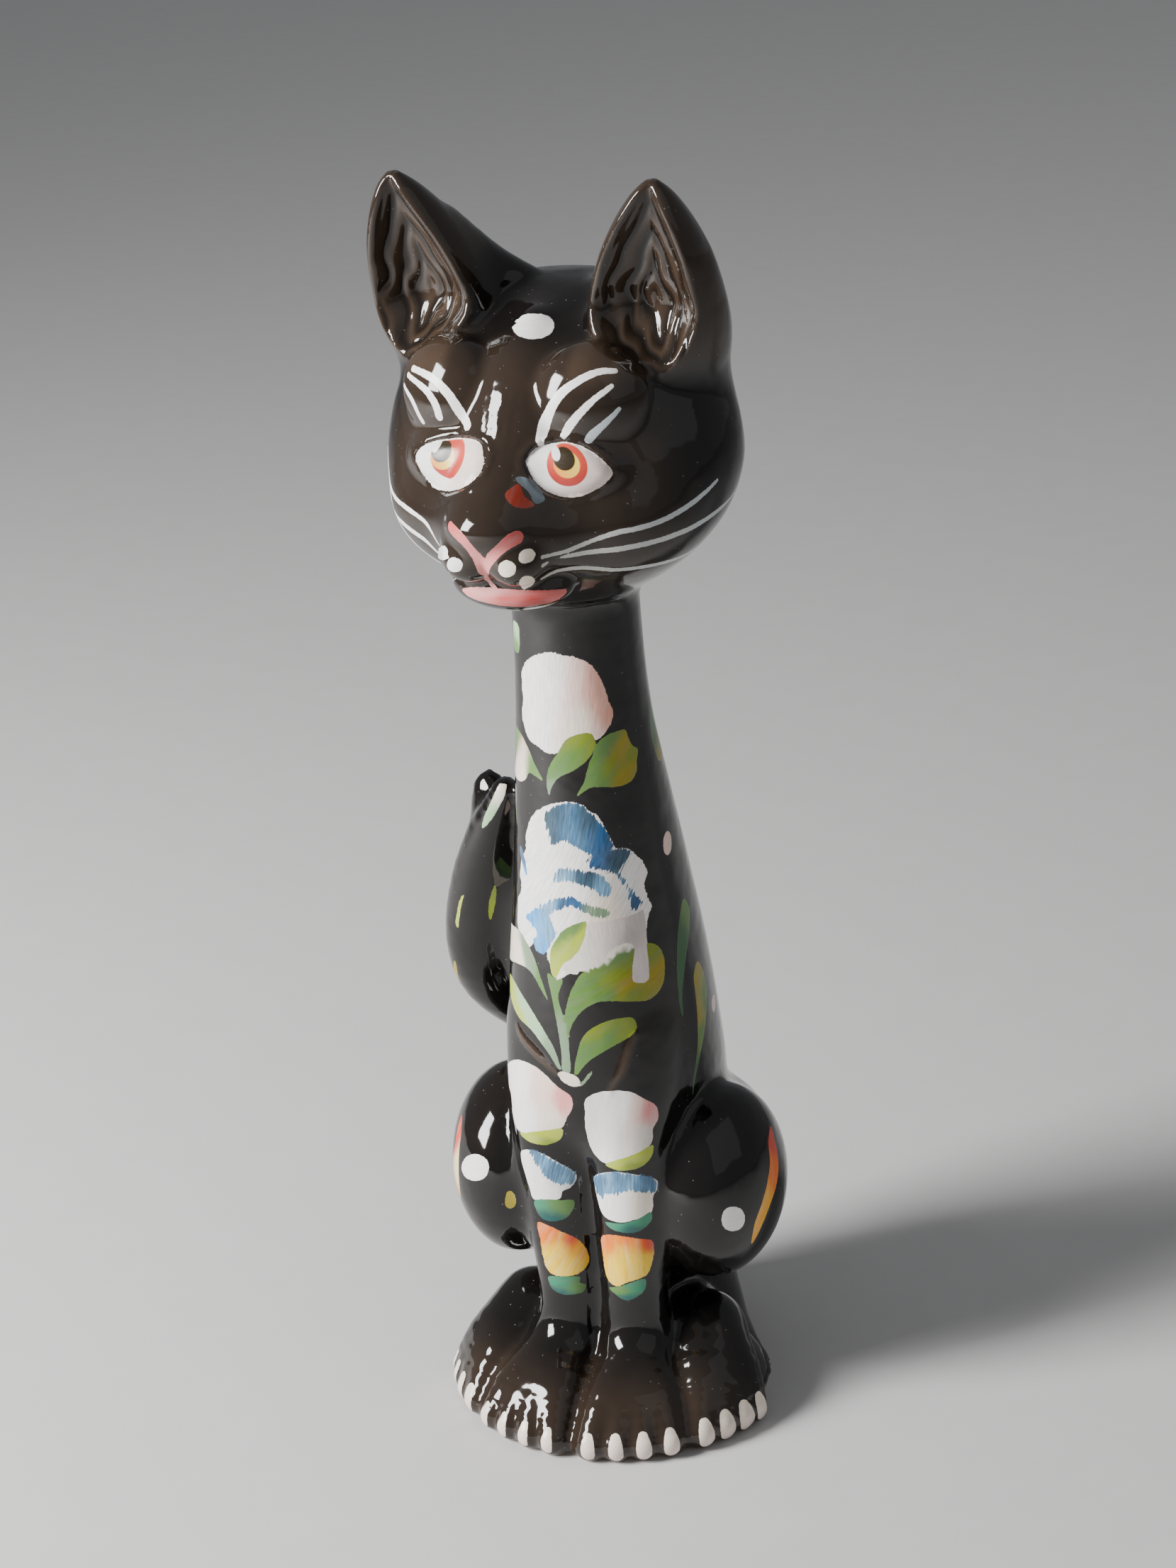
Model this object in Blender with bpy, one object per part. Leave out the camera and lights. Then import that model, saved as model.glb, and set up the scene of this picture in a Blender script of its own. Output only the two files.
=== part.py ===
"""Seated pottery cat with a long neck, a wide head and a fan of paws, cast in one piece.

The cat faces -Y, its left side is +X and its underside rests on z = 0. Lengths are in metres.
Soft volumes for the body, head, legs, paws and tail are fused into one skin. The ears are
hollowed from the front before they join the head, and the underside is cut flat.
"""
from math import cos, pi, radians, sin

import bmesh
import bpy
from mathutils import Matrix, Vector

# Overall sizes
EAR_TIP_HEIGHT = 0.3280     # height of the ears' tips above the ground, before their rounding
NECK_RADIUS = 0.016
NECK_CENTRE_Y = -0.0076
HEAD_HALF_WIDTH = 0.0453
HEAD_HALF_DEPTH = 0.0340
HEAD_TURN = -5.5            # degrees, towards the cat's right
HAUNCH_WIDTH = 0.091        # over both haunches
PAW_FAN_RADIUS = 0.0430     # from the fan's centre to the middle of the toes' tips
PAW_FAN_CENTRE_Y = -0.0092
OUTLINE_MIDDLE = (-0.0019, -0.0060)     # middle of the whole outline, which becomes the origin
GLAZE_COLOUR = (0.012, 0.010, 0.010, 1.0)
GLAZE_ROUGHNESS = 0.10

# Body column from the top down: height, centre in Y, half-width and half-depth of each level
BODY_LEVELS = (
    (0.240, NECK_CENTRE_Y, NECK_RADIUS, NECK_RADIUS),
    (0.212, NECK_CENTRE_Y, NECK_RADIUS, NECK_RADIUS),
    (0.190, -0.0072, 0.0172, 0.0172),
    (0.168, -0.0052, 0.0196, 0.0212),
    (0.145, -0.0030, 0.0222, 0.0258),
    (0.120, -0.0018, 0.0252, 0.0305),
    (0.097, -0.0010, 0.0272, 0.0334),
    (0.084, 0.0010, 0.0272, 0.0335),
    (0.066, 0.0060, 0.0255, 0.0300),
    (0.042, 0.0070, 0.0225, 0.0280),
    (0.028, 0.0070, 0.0220, 0.0280),
    (0.012, 0.0050, 0.0270, 0.0300),
    (-0.004, 0.0040, 0.0300, 0.0320),
)
RUMP = ((0.0, 0.0130, 0.0480), (0.0255, 0.0270, 0.0400))
RING_POINTS = 48

# Head from the crown down: height, centre in Y, shares of the half-width and half-depth
HEAD_LEVELS = (
    (0.3002, 0.0036, 0.05, 0.05),
    (0.2998, 0.0034, 0.20, 0.17),
    (0.2988, 0.0030, 0.36, 0.30),
    (0.2960, 0.0015, 0.56, 0.46),
    (0.2910, -0.0015, 0.72, 0.62),
    (0.2855, -0.0040, 0.82, 0.77),
    (0.2780, -0.0055, 0.90, 0.87),
    (0.2690, -0.0065, 0.97, 0.93),
    (0.2580, -0.0080, 1.0, 0.97),
    (0.2480, -0.0110, 0.95, 0.93),
    (0.2400, -0.0130, 0.83, 0.81),
    (0.2330, -0.0125, 0.65, 0.68),
    (0.2280, -0.0105, 0.48, 0.57),
    (0.2240, -0.0080, 0.34, 0.46),
)
# Soft volumes of the face to each side: centre in X, Y and Z, half-axes, turn about Z and tip about X
BROW = ((0.0184, -0.0276, 0.2786), (0.0138, 0.0092, 0.0128), 18.0, -14.0)
EYE = ((0.0150, -0.0326, 0.2620), (0.0118, 0.0082, 0.0090), 18.0, 0.0)
CHEEK = ((0.0170, -0.0200, 0.2490), (0.0200, 0.0190, 0.0150), 20.0, 0.0)
WHISKER_PAD = ((0.0060, -0.0465, 0.2438), (0.0070, 0.0078, 0.0059), 0.0, 0.0)
# Those on the middle line: centre and half-axes
MUZZLE = ((0.0, -0.0360, 0.2490), (0.0185, 0.0170, 0.0125))
NOSE = ((0.0, -0.0500, 0.2522), (0.0086, 0.0064, 0.0048))
CHIN = ((0.0, -0.0385, 0.2355), (0.0155, 0.0100, 0.0065))
# Bridge of the nose from the forehead down: X, Y, Z and radius
NOSE_BRIDGE = (
    (0.0, -0.0185, 0.2920, 0.0040),
    (0.0, -0.0235, 0.2840, 0.0075),
    (0.0, -0.0280, 0.2750, 0.0096),
    (0.0, -0.0332, 0.2645, 0.0103),
    (0.0, -0.0423, 0.2550, 0.0096),
)

# Ears: middle of the base, tip, radius at the base, and the share of it along the ear
EAR_BASE = (0.0262, -0.0060, 0.2820)
EAR_TIP = (0.0335, -0.0205, EAR_TIP_HEIGHT)
EAR_RADIUS = 0.0180
EAR_SHARES = ((-0.6, 0.52), (-0.25, 0.78), (0.0, 0.92), (0.2, 0.95), (0.4, 0.87), (0.6, 0.73), (0.78, 0.52),
              (0.92, 0.29), (1.0, 0.10))
# Ridge from the crown up the inner side of an ear
EAR_RIDGE = ((0.006, 0.002, 0.291, 0.0070), (0.018, -0.004, 0.299, 0.0075), (0.027, -0.010, 0.312, 0.0050))
# Opening of an ear from the bottom up: height, middle in X, rim in Y, half-width
EAR_OPENING = (
    (0.2800, 0.0345, -0.0265, 0.0010),
    (0.2850, 0.0335, -0.0245, 0.0056),
    (0.2910, 0.0315, -0.0220, 0.0106),
    (0.2970, 0.0298, -0.0205, 0.0128),
    (0.3040, 0.0302, -0.0210, 0.0110),
    (0.3120, 0.0312, -0.0215, 0.0078),
    (0.3200, 0.0325, -0.0220, 0.0036),
    (0.3255, 0.0334, -0.0224, 0.0006),
)
BOWL_DEPTH_SHARE = 0.6      # depth of the hollow over the half-width of its opening
BOWL_OVERHANG = 1.3         # how far the cutter reaches to each side, over the half-width
BOWL_REACH = 0.02           # how far the cutter reaches to the front

# Legs and paws
HAUNCH_THICKNESS = 0.0175   # half-width of one haunch
HAUNCH_HALF_DEPTH = 0.0220
HAUNCH_HALF_HEIGHT = 0.0262
HAUNCH_PLACE = (-0.0070, 0.0610)
HIP = ((0.0190, 0.0110, 0.0530), (0.0185, 0.0235, 0.0275), -6.0, 0.0)
# Foreleg from the chest to the ankle: X to each side, Y, Z and radius
FORELEG = (
    (0.0100, -0.0150, 0.106, 0.0120),
    (0.0102, -0.0212, 0.084, 0.0112),
    (0.0095, -0.0220, 0.055, 0.0100),
    (0.0086, -0.0225, 0.034, 0.0088),
    (0.0092, -0.0240, 0.018, 0.0092),
)
FOREPAW_INSTEP = (0.0100, -0.0270, 0.0160)
FOREPAW_INSTEP_RADIUS = 0.0092
FOREPAW_TOE_ANGLES = (7.0, 16.0, 25.0, 34.0)
HIND_PAW_INSTEP = (0.0240, -0.0130, 0.0170)
HIND_PAW_INSTEP_RADIUS = 0.0110
HIND_PAW_TOE_ANGLES = (46.0, 54.0, 62.0, 69.0)
TOE_RADIUS = 0.0044
TOE_HEIGHT = 0.0042
KNUCKLE_SHARE = 0.62        # how far along a toe its knuckle lies
KNUCKLE_RISE = 0.0022
PAW_BASE = ((0.0, -0.0130, -0.0010), (0.0405, 0.0395, 0.0130))

# Tail from its root on the rump to its tip: X, Y, Z and radius
TAIL = (
    (0.0050, 0.0290, 0.0480, 0.0095),
    (-0.0050, 0.0345, 0.0650, 0.0095),
    (-0.0180, 0.0310, 0.0800, 0.0098),
    (-0.0310, 0.0220, 0.0925, 0.0099),
    (-0.0385, 0.0125, 0.1050, 0.0099),
    (-0.0395, 0.0070, 0.1190, 0.0096),
    (-0.0365, 0.0040, 0.1360, 0.0084),
    (-0.0310, 0.0000, 0.1520, 0.0062),
    (-0.0245, -0.0040, 0.1660, 0.0036),
)
TAIL_WEB = ((-0.0250, 0.0060, 0.1270), (0.0105, 0.0075, 0.0410), -13.0)

# Skin
FUSE_STEP = 0.0014          # grid step of the skin that fuses the volumes
SOFTEN_TURNS = 5            # rounds of smoothing that give the creases a cast softness
SKIN_SHARE = 0.0810         # share of the skin's triangles that is kept
GROUND_BLOCK = (0.2, 0.2, 0.03)     # block that is taken away below the ground


def ball(bm, centre, radii, turn_z=0.0, tip_x=0.0, lean_y=0.0):
    """Ellipsoid with the given half-axes, turned about Z, then X and Y, in degrees."""
    place = (Matrix.Translation(centre) @ Matrix.Rotation(radians(turn_z), 4, "Z")
             @ Matrix.Rotation(radians(tip_x), 4, "X") @ Matrix.Rotation(radians(lean_y), 4, "Y")
             @ Matrix.Diagonal((*radii, 1.0)))
    bmesh.ops.create_icosphere(bm, subdivisions=4, radius=1.0, matrix=place)


def join_rings(bm, rings):
    """Skin over a row of rings with equal counts, closed by a face at each end."""
    for lower, upper in zip(rings, rings[1:]):
        count = len(lower)
        for i in range(count):
            j = (i + 1) % count
            bm.faces.new((lower[i], lower[j], upper[j], upper[i]))
    bm.faces.new(reversed(rings[0]))
    bm.faces.new(rings[-1])


def column(bm, levels, points=RING_POINTS):
    """Upright column through elliptical levels, which are listed from the top down."""
    rings = []
    for height, centre_y, half_width, half_depth in reversed(levels):
        ring = []
        for i in range(points):
            angle = 2.0 * pi * i / points
            ring.append(bm.verts.new((half_width * cos(angle), centre_y + half_depth * sin(angle), height)))
        rings.append(ring)
    join_rings(bm, rings)


def curve_point(points, t):
    """Point on a smooth curve through the given tuples, t running from 0 to 1."""
    spans = len(points) - 1
    place = min(t * spans, spans - 1e-6)
    i = int(place)
    u = place - i
    before, start = points[max(i - 1, 0)], points[i]
    end, after = points[i + 1], points[min(i + 2, spans)]
    return tuple(
        0.5 * (2 * s + (e - b) * u + (2 * b - 5 * s + 4 * e - a) * u ** 2 + (3 * s - b - 3 * e + a) * u ** 3)
        for b, s, e, a in zip(before, start, end, after))


def limb(bm, stations, steps=6, points=20):
    """Round limb through stations of x, y, z and radius, with round ends."""
    total = steps * (len(stations) - 1)
    samples = [curve_point(stations, k / total) for k in range(total + 1)]
    rings = []
    side = None
    for k, (x, y, z, radius) in enumerate(samples):
        ahead, behind = samples[min(k + 1, total)], samples[max(k - 1, 0)]
        along = (Vector(ahead[:3]) - Vector(behind[:3])).normalized()
        if side is None:
            side = along.orthogonal().normalized()
        side = (side - along * side.dot(along)).normalized()
        other = along.cross(side)
        centre = Vector((x, y, z))
        angles = [2 * pi * i / points for i in range(points)]
        rings.append([bm.verts.new(centre + radius * (cos(a) * side + sin(a) * other)) for a in angles])
    join_rings(bm, rings)
    for x, y, z, radius in (samples[0], samples[-1]):
        ball(bm, (x, y, z), (radius, radius, radius))


def mirrored(point, side):
    """The point on the cat's left for side 1, or its mirror image on the right for side -1."""
    return (side * point[0], *point[1:])


def paired_ball(bm, shape, side):
    centre, radii, turn, tip = shape
    ball(bm, mirrored(centre, side), radii, turn_z=turn * side, tip_x=tip)


def middle_ball(bm, shape):
    centre, radii = shape
    ball(bm, centre, radii)


def paired_limb(bm, stations, side):
    limb(bm, [mirrored(station, side) for station in stations])


def body(bm):
    """Neck, chest and lower body as one column, with a round rump behind."""
    column(bm, BODY_LEVELS)
    middle_ball(bm, RUMP)


def haunch(bm, side):
    """Rounded thigh of a folded hind leg, and the hip that joins it to the rump."""
    ball(bm, (side * (HAUNCH_WIDTH / 2 - HAUNCH_THICKNESS), *HAUNCH_PLACE),
         (HAUNCH_THICKNESS, HAUNCH_HALF_DEPTH, HAUNCH_HALF_HEIGHT), turn_z=-10 * side, tip_x=-8)
    paired_ball(bm, HIP, side)


def paw(bm, instep, radius, angles, side):
    """Paw spread as a fan of long toe ridges, from its instep to the rim of the paw fan."""
    start = Vector(mirrored(instep, side))
    for angle in angles:
        along = radians(angle * side)
        reach = PAW_FAN_RADIUS * Vector((sin(along), -cos(along), 0.0))
        tip = Vector((0.0, PAW_FAN_CENTRE_Y, TOE_HEIGHT)) + reach
        knuckle = start.lerp(tip, KNUCKLE_SHARE) + Vector((0.0, 0.0, KNUCKLE_RISE))
        limb(bm, ((*start, radius), (*knuckle, (radius + TOE_RADIUS) / 2), (*tip, TOE_RADIUS)))


def tail(bm):
    """Tail bowed up the cat's right side, with its tip against the body and a web inside the bow."""
    limb(bm, TAIL)
    centre, radii, lean = TAIL_WEB
    ball(bm, centre, radii, lean_y=lean)


def head(bm):
    """Skull with a sloping forehead, wide cheeks and the face's soft volumes."""
    column(bm, [(height, y, HEAD_HALF_WIDTH * width, HEAD_HALF_DEPTH * depth)
                for height, y, width, depth in HEAD_LEVELS])
    for shape in (MUZZLE, NOSE, CHIN):
        middle_ball(bm, shape)
    limb(bm, NOSE_BRIDGE)
    for side in (-1, 1):
        for shape in (BROW, EYE, CHEEK, WHISKER_PAD):
            paired_ball(bm, shape, side)
        paired_limb(bm, EAR_RIDGE, side)


def ear(bm, side):
    """Thick upright ear: a stack of round rings that leans forward to its tip."""
    base = Vector(mirrored(EAR_BASE, side))
    tip = Vector(mirrored(EAR_TIP, side))
    angles = [2 * pi * i / RING_POINTS for i in range(RING_POINTS)]
    rings = []
    for along, share in EAR_SHARES:
        centre = base + along * (tip - base)
        radius = EAR_RADIUS * share
        rings.append([bm.verts.new(centre + radius * Vector((cos(a), sin(a), 0.0))) for a in angles])
    join_rings(bm, rings)


def ear_bowl(bm, side):
    """Cutter for an ear's hollow: a pointed bowl that is open to the front."""
    steps = 16
    levels = 4 * (len(EAR_OPENING) - 1)
    rings = []
    for k in range(levels + 1):
        height, x, y, half = curve_point(EAR_OPENING, k / levels)
        shares = [BOWL_OVERHANG * (2 * i / steps - 1) for i in range(steps + 1)]
        wall = [(x + half * s, y + BOWL_DEPTH_SHARE * half * (1 - s * s)) for s in shares]
        front = [(wall[-1][0], y - BOWL_REACH), (wall[0][0], y - BOWL_REACH)]
        rings.append([bm.verts.new((side * px, py, height)) for px, py in wall + front])
    join_rings(bm, rings)
    turned_about_neck(bm, HEAD_TURN, 0)


def turned_about_neck(bm, degrees, first_vertex):
    """Turns every vertex made since first_vertex about the neck's upright axis."""
    bm.verts.ensure_lookup_table()
    bmesh.ops.rotate(bm, cent=(0.0, NECK_CENTRE_Y, 0.0), matrix=Matrix.Rotation(radians(degrees), 3, "Z"),
                     verts=bm.verts[first_vertex:])


def mesh_object(name, bm):
    """Object made of the volumes, with the origin under the middle of the figurine's outline."""
    mesh = bpy.data.meshes.new(name)
    x, y = OUTLINE_MIDDLE
    bmesh.ops.translate(bm, vec=(-x, -y, 0.0), verts=bm.verts[:])
    bmesh.ops.recalc_face_normals(bm, faces=bm.faces[:])
    bm.to_mesh(mesh)
    bm.free()
    made = bpy.data.objects.new(name, mesh)
    bpy.context.scene.collection.objects.link(made)
    return made


def helper(name, bm):
    """Hidden body that only serves another one."""
    made = mesh_object(name, bm)
    made.hide_render = True
    made.display_type = "WIRE"
    return made


def ground_block(bm):
    """Block below the ground that leaves a flat underside."""
    bmesh.ops.create_cube(bm, size=1.0, matrix=Matrix.Translation((0.0, 0.0, -GROUND_BLOCK[2] / 2))
                          @ Matrix.Diagonal((*GROUND_BLOCK, 1.0)))


def glaze():
    material = bpy.data.materials.new("black_glaze")
    material.use_nodes = True
    shader = material.node_tree.nodes["Principled BSDF"]
    shader.inputs["Base Color"].default_value = GLAZE_COLOUR
    shader.inputs["Roughness"].default_value = GLAZE_ROUGHNESS
    shader.inputs["Metallic"].default_value = 0.0
    return material


def add_modifier(made, name, kind, **settings):
    modifier = made.modifiers.new(name, kind)
    for key, value in settings.items():
        setattr(modifier, key, value)


def hollow_ear(name, side):
    """One ear with the bowl taken out of its front."""
    bm = bmesh.new()
    ear(bm, side)
    turned_about_neck(bm, HEAD_TURN, 0)
    made = helper(f"ear_{name}", bm)
    bm = bmesh.new()
    ear_bowl(bm, side)
    bowl = helper(f"ear_bowl_{name}", bm)
    add_modifier(made, "hollow", "BOOLEAN", operation="DIFFERENCE", solver="EXACT", object=bowl)
    return made


def cat():
    """The whole figurine as one solid."""
    bm = bmesh.new()
    body(bm)
    tail(bm)
    middle_ball(bm, PAW_BASE)       # shallow mass that joins the four paws at the ground
    for side in (-1, 1):
        haunch(bm, side)
        paired_limb(bm, FORELEG, side)
        paw(bm, FOREPAW_INSTEP, FOREPAW_INSTEP_RADIUS, FOREPAW_TOE_ANGLES, side)
        paw(bm, HIND_PAW_INSTEP, HIND_PAW_INSTEP_RADIUS, HIND_PAW_TOE_ANGLES, side)
    first_head_vertex = len(bm.verts)
    head(bm)
    turned_about_neck(bm, HEAD_TURN, first_head_vertex)
    made = mesh_object("cat_figurine", bm)
    made.data.materials.append(glaze())

    ears = [hollow_ear("right", -1), hollow_ear("left", 1)]
    bm = bmesh.new()
    ground_block(bm)
    underside = helper("underside_cutter", bm)
    add_modifier(made, "fuse", "REMESH", mode="VOXEL", voxel_size=FUSE_STEP)
    for hollow in ears:
        add_modifier(made, hollow.name, "BOOLEAN", operation="UNION", solver="EXACT", object=hollow)
    add_modifier(made, "even", "REMESH", mode="VOXEL", voxel_size=FUSE_STEP)
    add_modifier(made, "soften", "SMOOTH", factor=0.5, iterations=SOFTEN_TURNS)
    add_modifier(made, "thin_out", "DECIMATE", ratio=SKIN_SHARE)
    add_modifier(made, "flat_underside", "BOOLEAN", operation="DIFFERENCE", solver="EXACT", object=underside)
    made.data.shade_smooth()
    return made


for leftover in list(bpy.data.objects):
    bpy.data.objects.remove(leftover, do_unlink=True)
cat()
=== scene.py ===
# %% [markdown]
# # A painted pottery cat
#
# The real object is one hollow body of cast clay: a tall cat with a long neck, a wide head and four paws that
# spread into a fan. It was dipped in a glossy black glaze and fired, and then flowers, eyes, whiskers and claws
# were painted on the glaze by hand. Lengths below are in millimetres until the mesh is made. The cat faces -Y,
# its left side is +X, and x = 0 is the plane through the neck.

# %% Load the frame
from math import cos, pi, radians, sin
import bmesh
import bpy
import numpy as np
from mathutils import Matrix, Vector


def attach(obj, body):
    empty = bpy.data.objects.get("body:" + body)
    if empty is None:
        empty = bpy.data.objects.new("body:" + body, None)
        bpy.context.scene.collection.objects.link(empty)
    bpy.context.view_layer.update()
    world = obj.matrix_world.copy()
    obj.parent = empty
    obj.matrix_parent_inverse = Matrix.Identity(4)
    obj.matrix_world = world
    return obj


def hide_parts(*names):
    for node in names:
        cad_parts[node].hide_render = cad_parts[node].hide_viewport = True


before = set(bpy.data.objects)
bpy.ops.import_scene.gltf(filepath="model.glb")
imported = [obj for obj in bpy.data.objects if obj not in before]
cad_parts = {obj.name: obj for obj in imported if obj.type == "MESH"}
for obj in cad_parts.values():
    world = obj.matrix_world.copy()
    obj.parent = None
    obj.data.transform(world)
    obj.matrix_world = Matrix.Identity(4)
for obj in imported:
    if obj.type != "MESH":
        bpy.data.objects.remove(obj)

MM = 0.001
OUTLINE_MIDDLE = np.array([-1.9, -6.0, 0.0])     # the frame's origin lies under this point of the neck's axes
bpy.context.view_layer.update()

# %% [markdown]
# ## Camera
#
# The photograph looks down on the cat from a little above its head and from its left, and the lens leans, so the
# neck tilts to the left in the picture. Height, distance and lens were found by asking that pairs of features,
# such as both ear tips or both outer claws, come out where the picture has them.

# %% Camera
camera_azimuth, camera_distance, camera_height = 21.6, 748.0, 475.0
camera_turn, camera_pitch, camera_roll = 21.83, 22.3, -4.1
lens_pixels, picture_height = 4482.0, 2212.0
lens = bpy.data.cameras.new("camera")
camera = bpy.data.objects.new("camera", lens)
bpy.context.scene.collection.objects.link(camera)
bpy.context.scene.camera = camera
lens.sensor_fit, lens.sensor_height = "VERTICAL", 24.0
lens.lens = lens.sensor_height * lens_pixels / picture_height
around = radians(camera_azimuth)
camera.location = (Vector((camera_distance * sin(around), -camera_distance * cos(around), camera_height))
                   - Vector(OUTLINE_MIDDLE)) * MM
camera.rotation_euler = (Matrix.Rotation(radians(camera_turn), 3, "Z")
                         @ Matrix.Rotation(radians(90.0 - camera_pitch), 3, "X")
                         @ Matrix.Rotation(radians(camera_roll), 3, "Z")).to_euler()
print("lens", round(lens.lens, 1), "mm, camera at", [round(v, 3) for v in camera.location])

# %% [markdown]
# ## Soft volumes
#
# Cast clay has no sharp corners: every limb melts into the next. So the form is described as a sum of soft
# volumes. Each volume is a function that says how far a point lies outside its skin, and two volumes are joined
# with a fillet of a chosen width. A point can then be pulled onto the joined skin, wherever it starts.

# %% Distances to simple volumes
FAR = 12.0     # wider than every fillet, so a volume this far away changes nothing


def turned(turn=0.0, tip=0.0, lean=0.0):
    """Matrix of a turn about Z, a tip about X and a lean about Y, in degrees."""
    return np.array(Matrix.Rotation(radians(turn), 3, "Z") @ Matrix.Rotation(radians(tip), 3, "X")
                    @ Matrix.Rotation(radians(lean), 3, "Y"))


def ball(points, centre, half_axes, turn=0.0, tip=0.0, lean=0.0):
    """Distance to an ellipsoid."""
    q = (points - np.array(centre)) @ turned(turn, tip, lean)
    near = np.linalg.norm(q / half_axes, axis=1) + 1e-9
    return near * (near - 1.0) / (np.linalg.norm(q / np.square(half_axes), axis=1) + 1e-9)


def smooth_path(stations, steps):
    """Rows on a smooth curve through the stations."""
    s = np.vstack([stations[0], stations, stations[-1]]).astype(float)
    rows = []
    for i in range(1, len(s) - 2):
        for u in np.arange(steps) / steps:
            rows.append(0.5 * (2 * s[i] + (s[i + 1] - s[i - 1]) * u
                               + (2 * s[i - 1] - 5 * s[i] + 4 * s[i + 1] - s[i + 2]) * u ** 2
                               + (3 * s[i] - s[i - 1] - 3 * s[i + 1] + s[i + 2]) * u ** 3))
    return np.array(rows + [s[-2]])


def column(points, levels):
    """Distance to an upright column whose levels are height, centre in Y, half-width and half-depth."""
    rows = smooth_path(np.array(levels)[::-1], 8)
    y, wide, deep = (np.interp(points[:, 2], rows[:, 0], rows[:, k]) for k in (1, 2, 3))
    flat = np.stack([points[:, 0], points[:, 1] - y], 1)
    half = np.stack([wide, deep], 1)
    near = np.linalg.norm(flat / half, axis=1) + 1e-9
    side = near * (near - 1.0) / (np.linalg.norm(flat / half ** 2, axis=1) + 1e-9)
    return np.maximum(side, np.maximum(points[:, 2] - rows[-1, 0], rows[0, 0] - points[:, 2]))


def limb(points, stations, steps=4):
    """Distance to a round limb through stations of x, y, z and radius. Points well away only get FAR."""
    rows = smooth_path(np.array(stations), steps)
    room = rows[:, 3:] + FAR
    near = np.all((points > (rows[:, :3] - room).min(0)) & (points < (rows[:, :3] + room).max(0)), axis=1)
    reach, close = np.full(len(points), FAR), points[near]
    for start, end in zip(rows, rows[1:]):
        along = end[:3] - start[:3]
        t = np.clip((close - start[:3]) @ along / (along @ along + 1e-9), 0.0, 1.0)
        gap = np.linalg.norm(close - start[:3] - t[:, None] * along, axis=1)
        reach[near] = np.minimum(reach[near], gap - start[3] - t * (end[3] - start[3]))
    return reach


def join(a, b, fillet):
    """Distance to both volumes, joined with a fillet of the given width."""
    h = np.maximum(fillet - np.abs(a - b), 0.0) / fillet
    return np.minimum(a, b) - h * h * fillet * 0.25


def carve(a, b, fillet):
    """Distance to volume a with volume b taken out of it, with a rounded rim."""
    return -join(-a, b, fillet)

# %% [markdown]
# ## The body
#
# From the shoulders down the cat is almost a bottle: a round neck that widens into a deep chest, with the back
# sloping out to the rump. Two forelegs stand fused side by side in front, with a groove between them. The folded
# hind legs show as rounded haunches, and all four paws spread as fans of long toes from one low base. The tail
# rises from the rump, bows out on the cat's right and lays its tip against the side.

# %% Body and legs
neck_radius, neck_y = 16.0, -7.6
body_levels = (
    (242.0, neck_y, neck_radius, neck_radius), (212.0, neck_y, neck_radius, neck_radius),
    (190.0, -7.2, 17.2, 17.2), (168.0, -5.2, 19.6, 21.2), (145.0, -3.0, 22.2, 25.8), (120.0, -1.8, 25.2, 30.5),
    (97.0, -1.0, 27.2, 33.4), (84.0, 1.0, 27.2, 33.5), (66.0, 6.0, 25.5, 30.0), (42.0, 7.0, 22.5, 28.0),
    (28.0, 7.0, 22.0, 28.0), (12.0, 5.0, 27.0, 30.0), (-6.0, 4.0, 30.0, 32.0))
foreleg = ((10.0, -15.0, 106.0, 12.0), (10.2, -21.2, 84.0, 11.2), (9.6, -22.0, 55.0, 10.0),
           (8.8, -22.5, 34.0, 8.8), (9.2, -24.0, 18.0, 9.2))
tail_path = ((5.0, 29.0, 48.0, 9.5), (-5.0, 34.5, 65.0, 9.5), (-18.0, 31.0, 80.0, 9.8), (-31.0, 22.0, 92.5, 9.9),
             (-38.5, 12.5, 105.0, 9.9), (-39.5, 7.0, 119.0, 9.6), (-36.5, 4.0, 136.0, 8.4), (-31.0, 0.0, 152.0, 6.2),
             (-24.5, -4.0, 166.0, 3.6))
fan_radius, fan_y, toe_radius, toe_height = 43.0, -9.2, 4.4, 4.2
fore_instep, hind_instep = (10.0, -27.0, 16.0, 9.2), (24.0, -13.0, 17.0, 11.0)
fore_toes, hind_toes = (7.0, 16.0, 25.0, 34.0), (46.0, 54.0, 62.0, 69.0)

print(len(fore_toes + hind_toes), "toes in each half of the fan")


# %% One paw
def toe_tip(angle):
    return np.array([fan_radius * sin(radians(angle)), fan_y - fan_radius * cos(radians(angle)), toe_height])


def mirrored(stations, side):
    return [(side * s[0], *s[1:]) for s in stations]


def paw(points, instep, angles, side):
    """One paw: a fan of toes from its instep, each with a soft knuckle."""
    start = np.array([side * instep[0], *instep[1:]])
    shape = None
    for angle in angles:
        tip = np.append(toe_tip(side * angle), toe_radius)
        knuckle = start + 0.62 * (tip - start) + np.array([0.0, 0.0, 2.2, 0.4])
        toe = limb(points, (start, knuckle, tip))
        shape = toe if shape is None else join(shape, toe, 1.6)
    return shape


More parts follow.
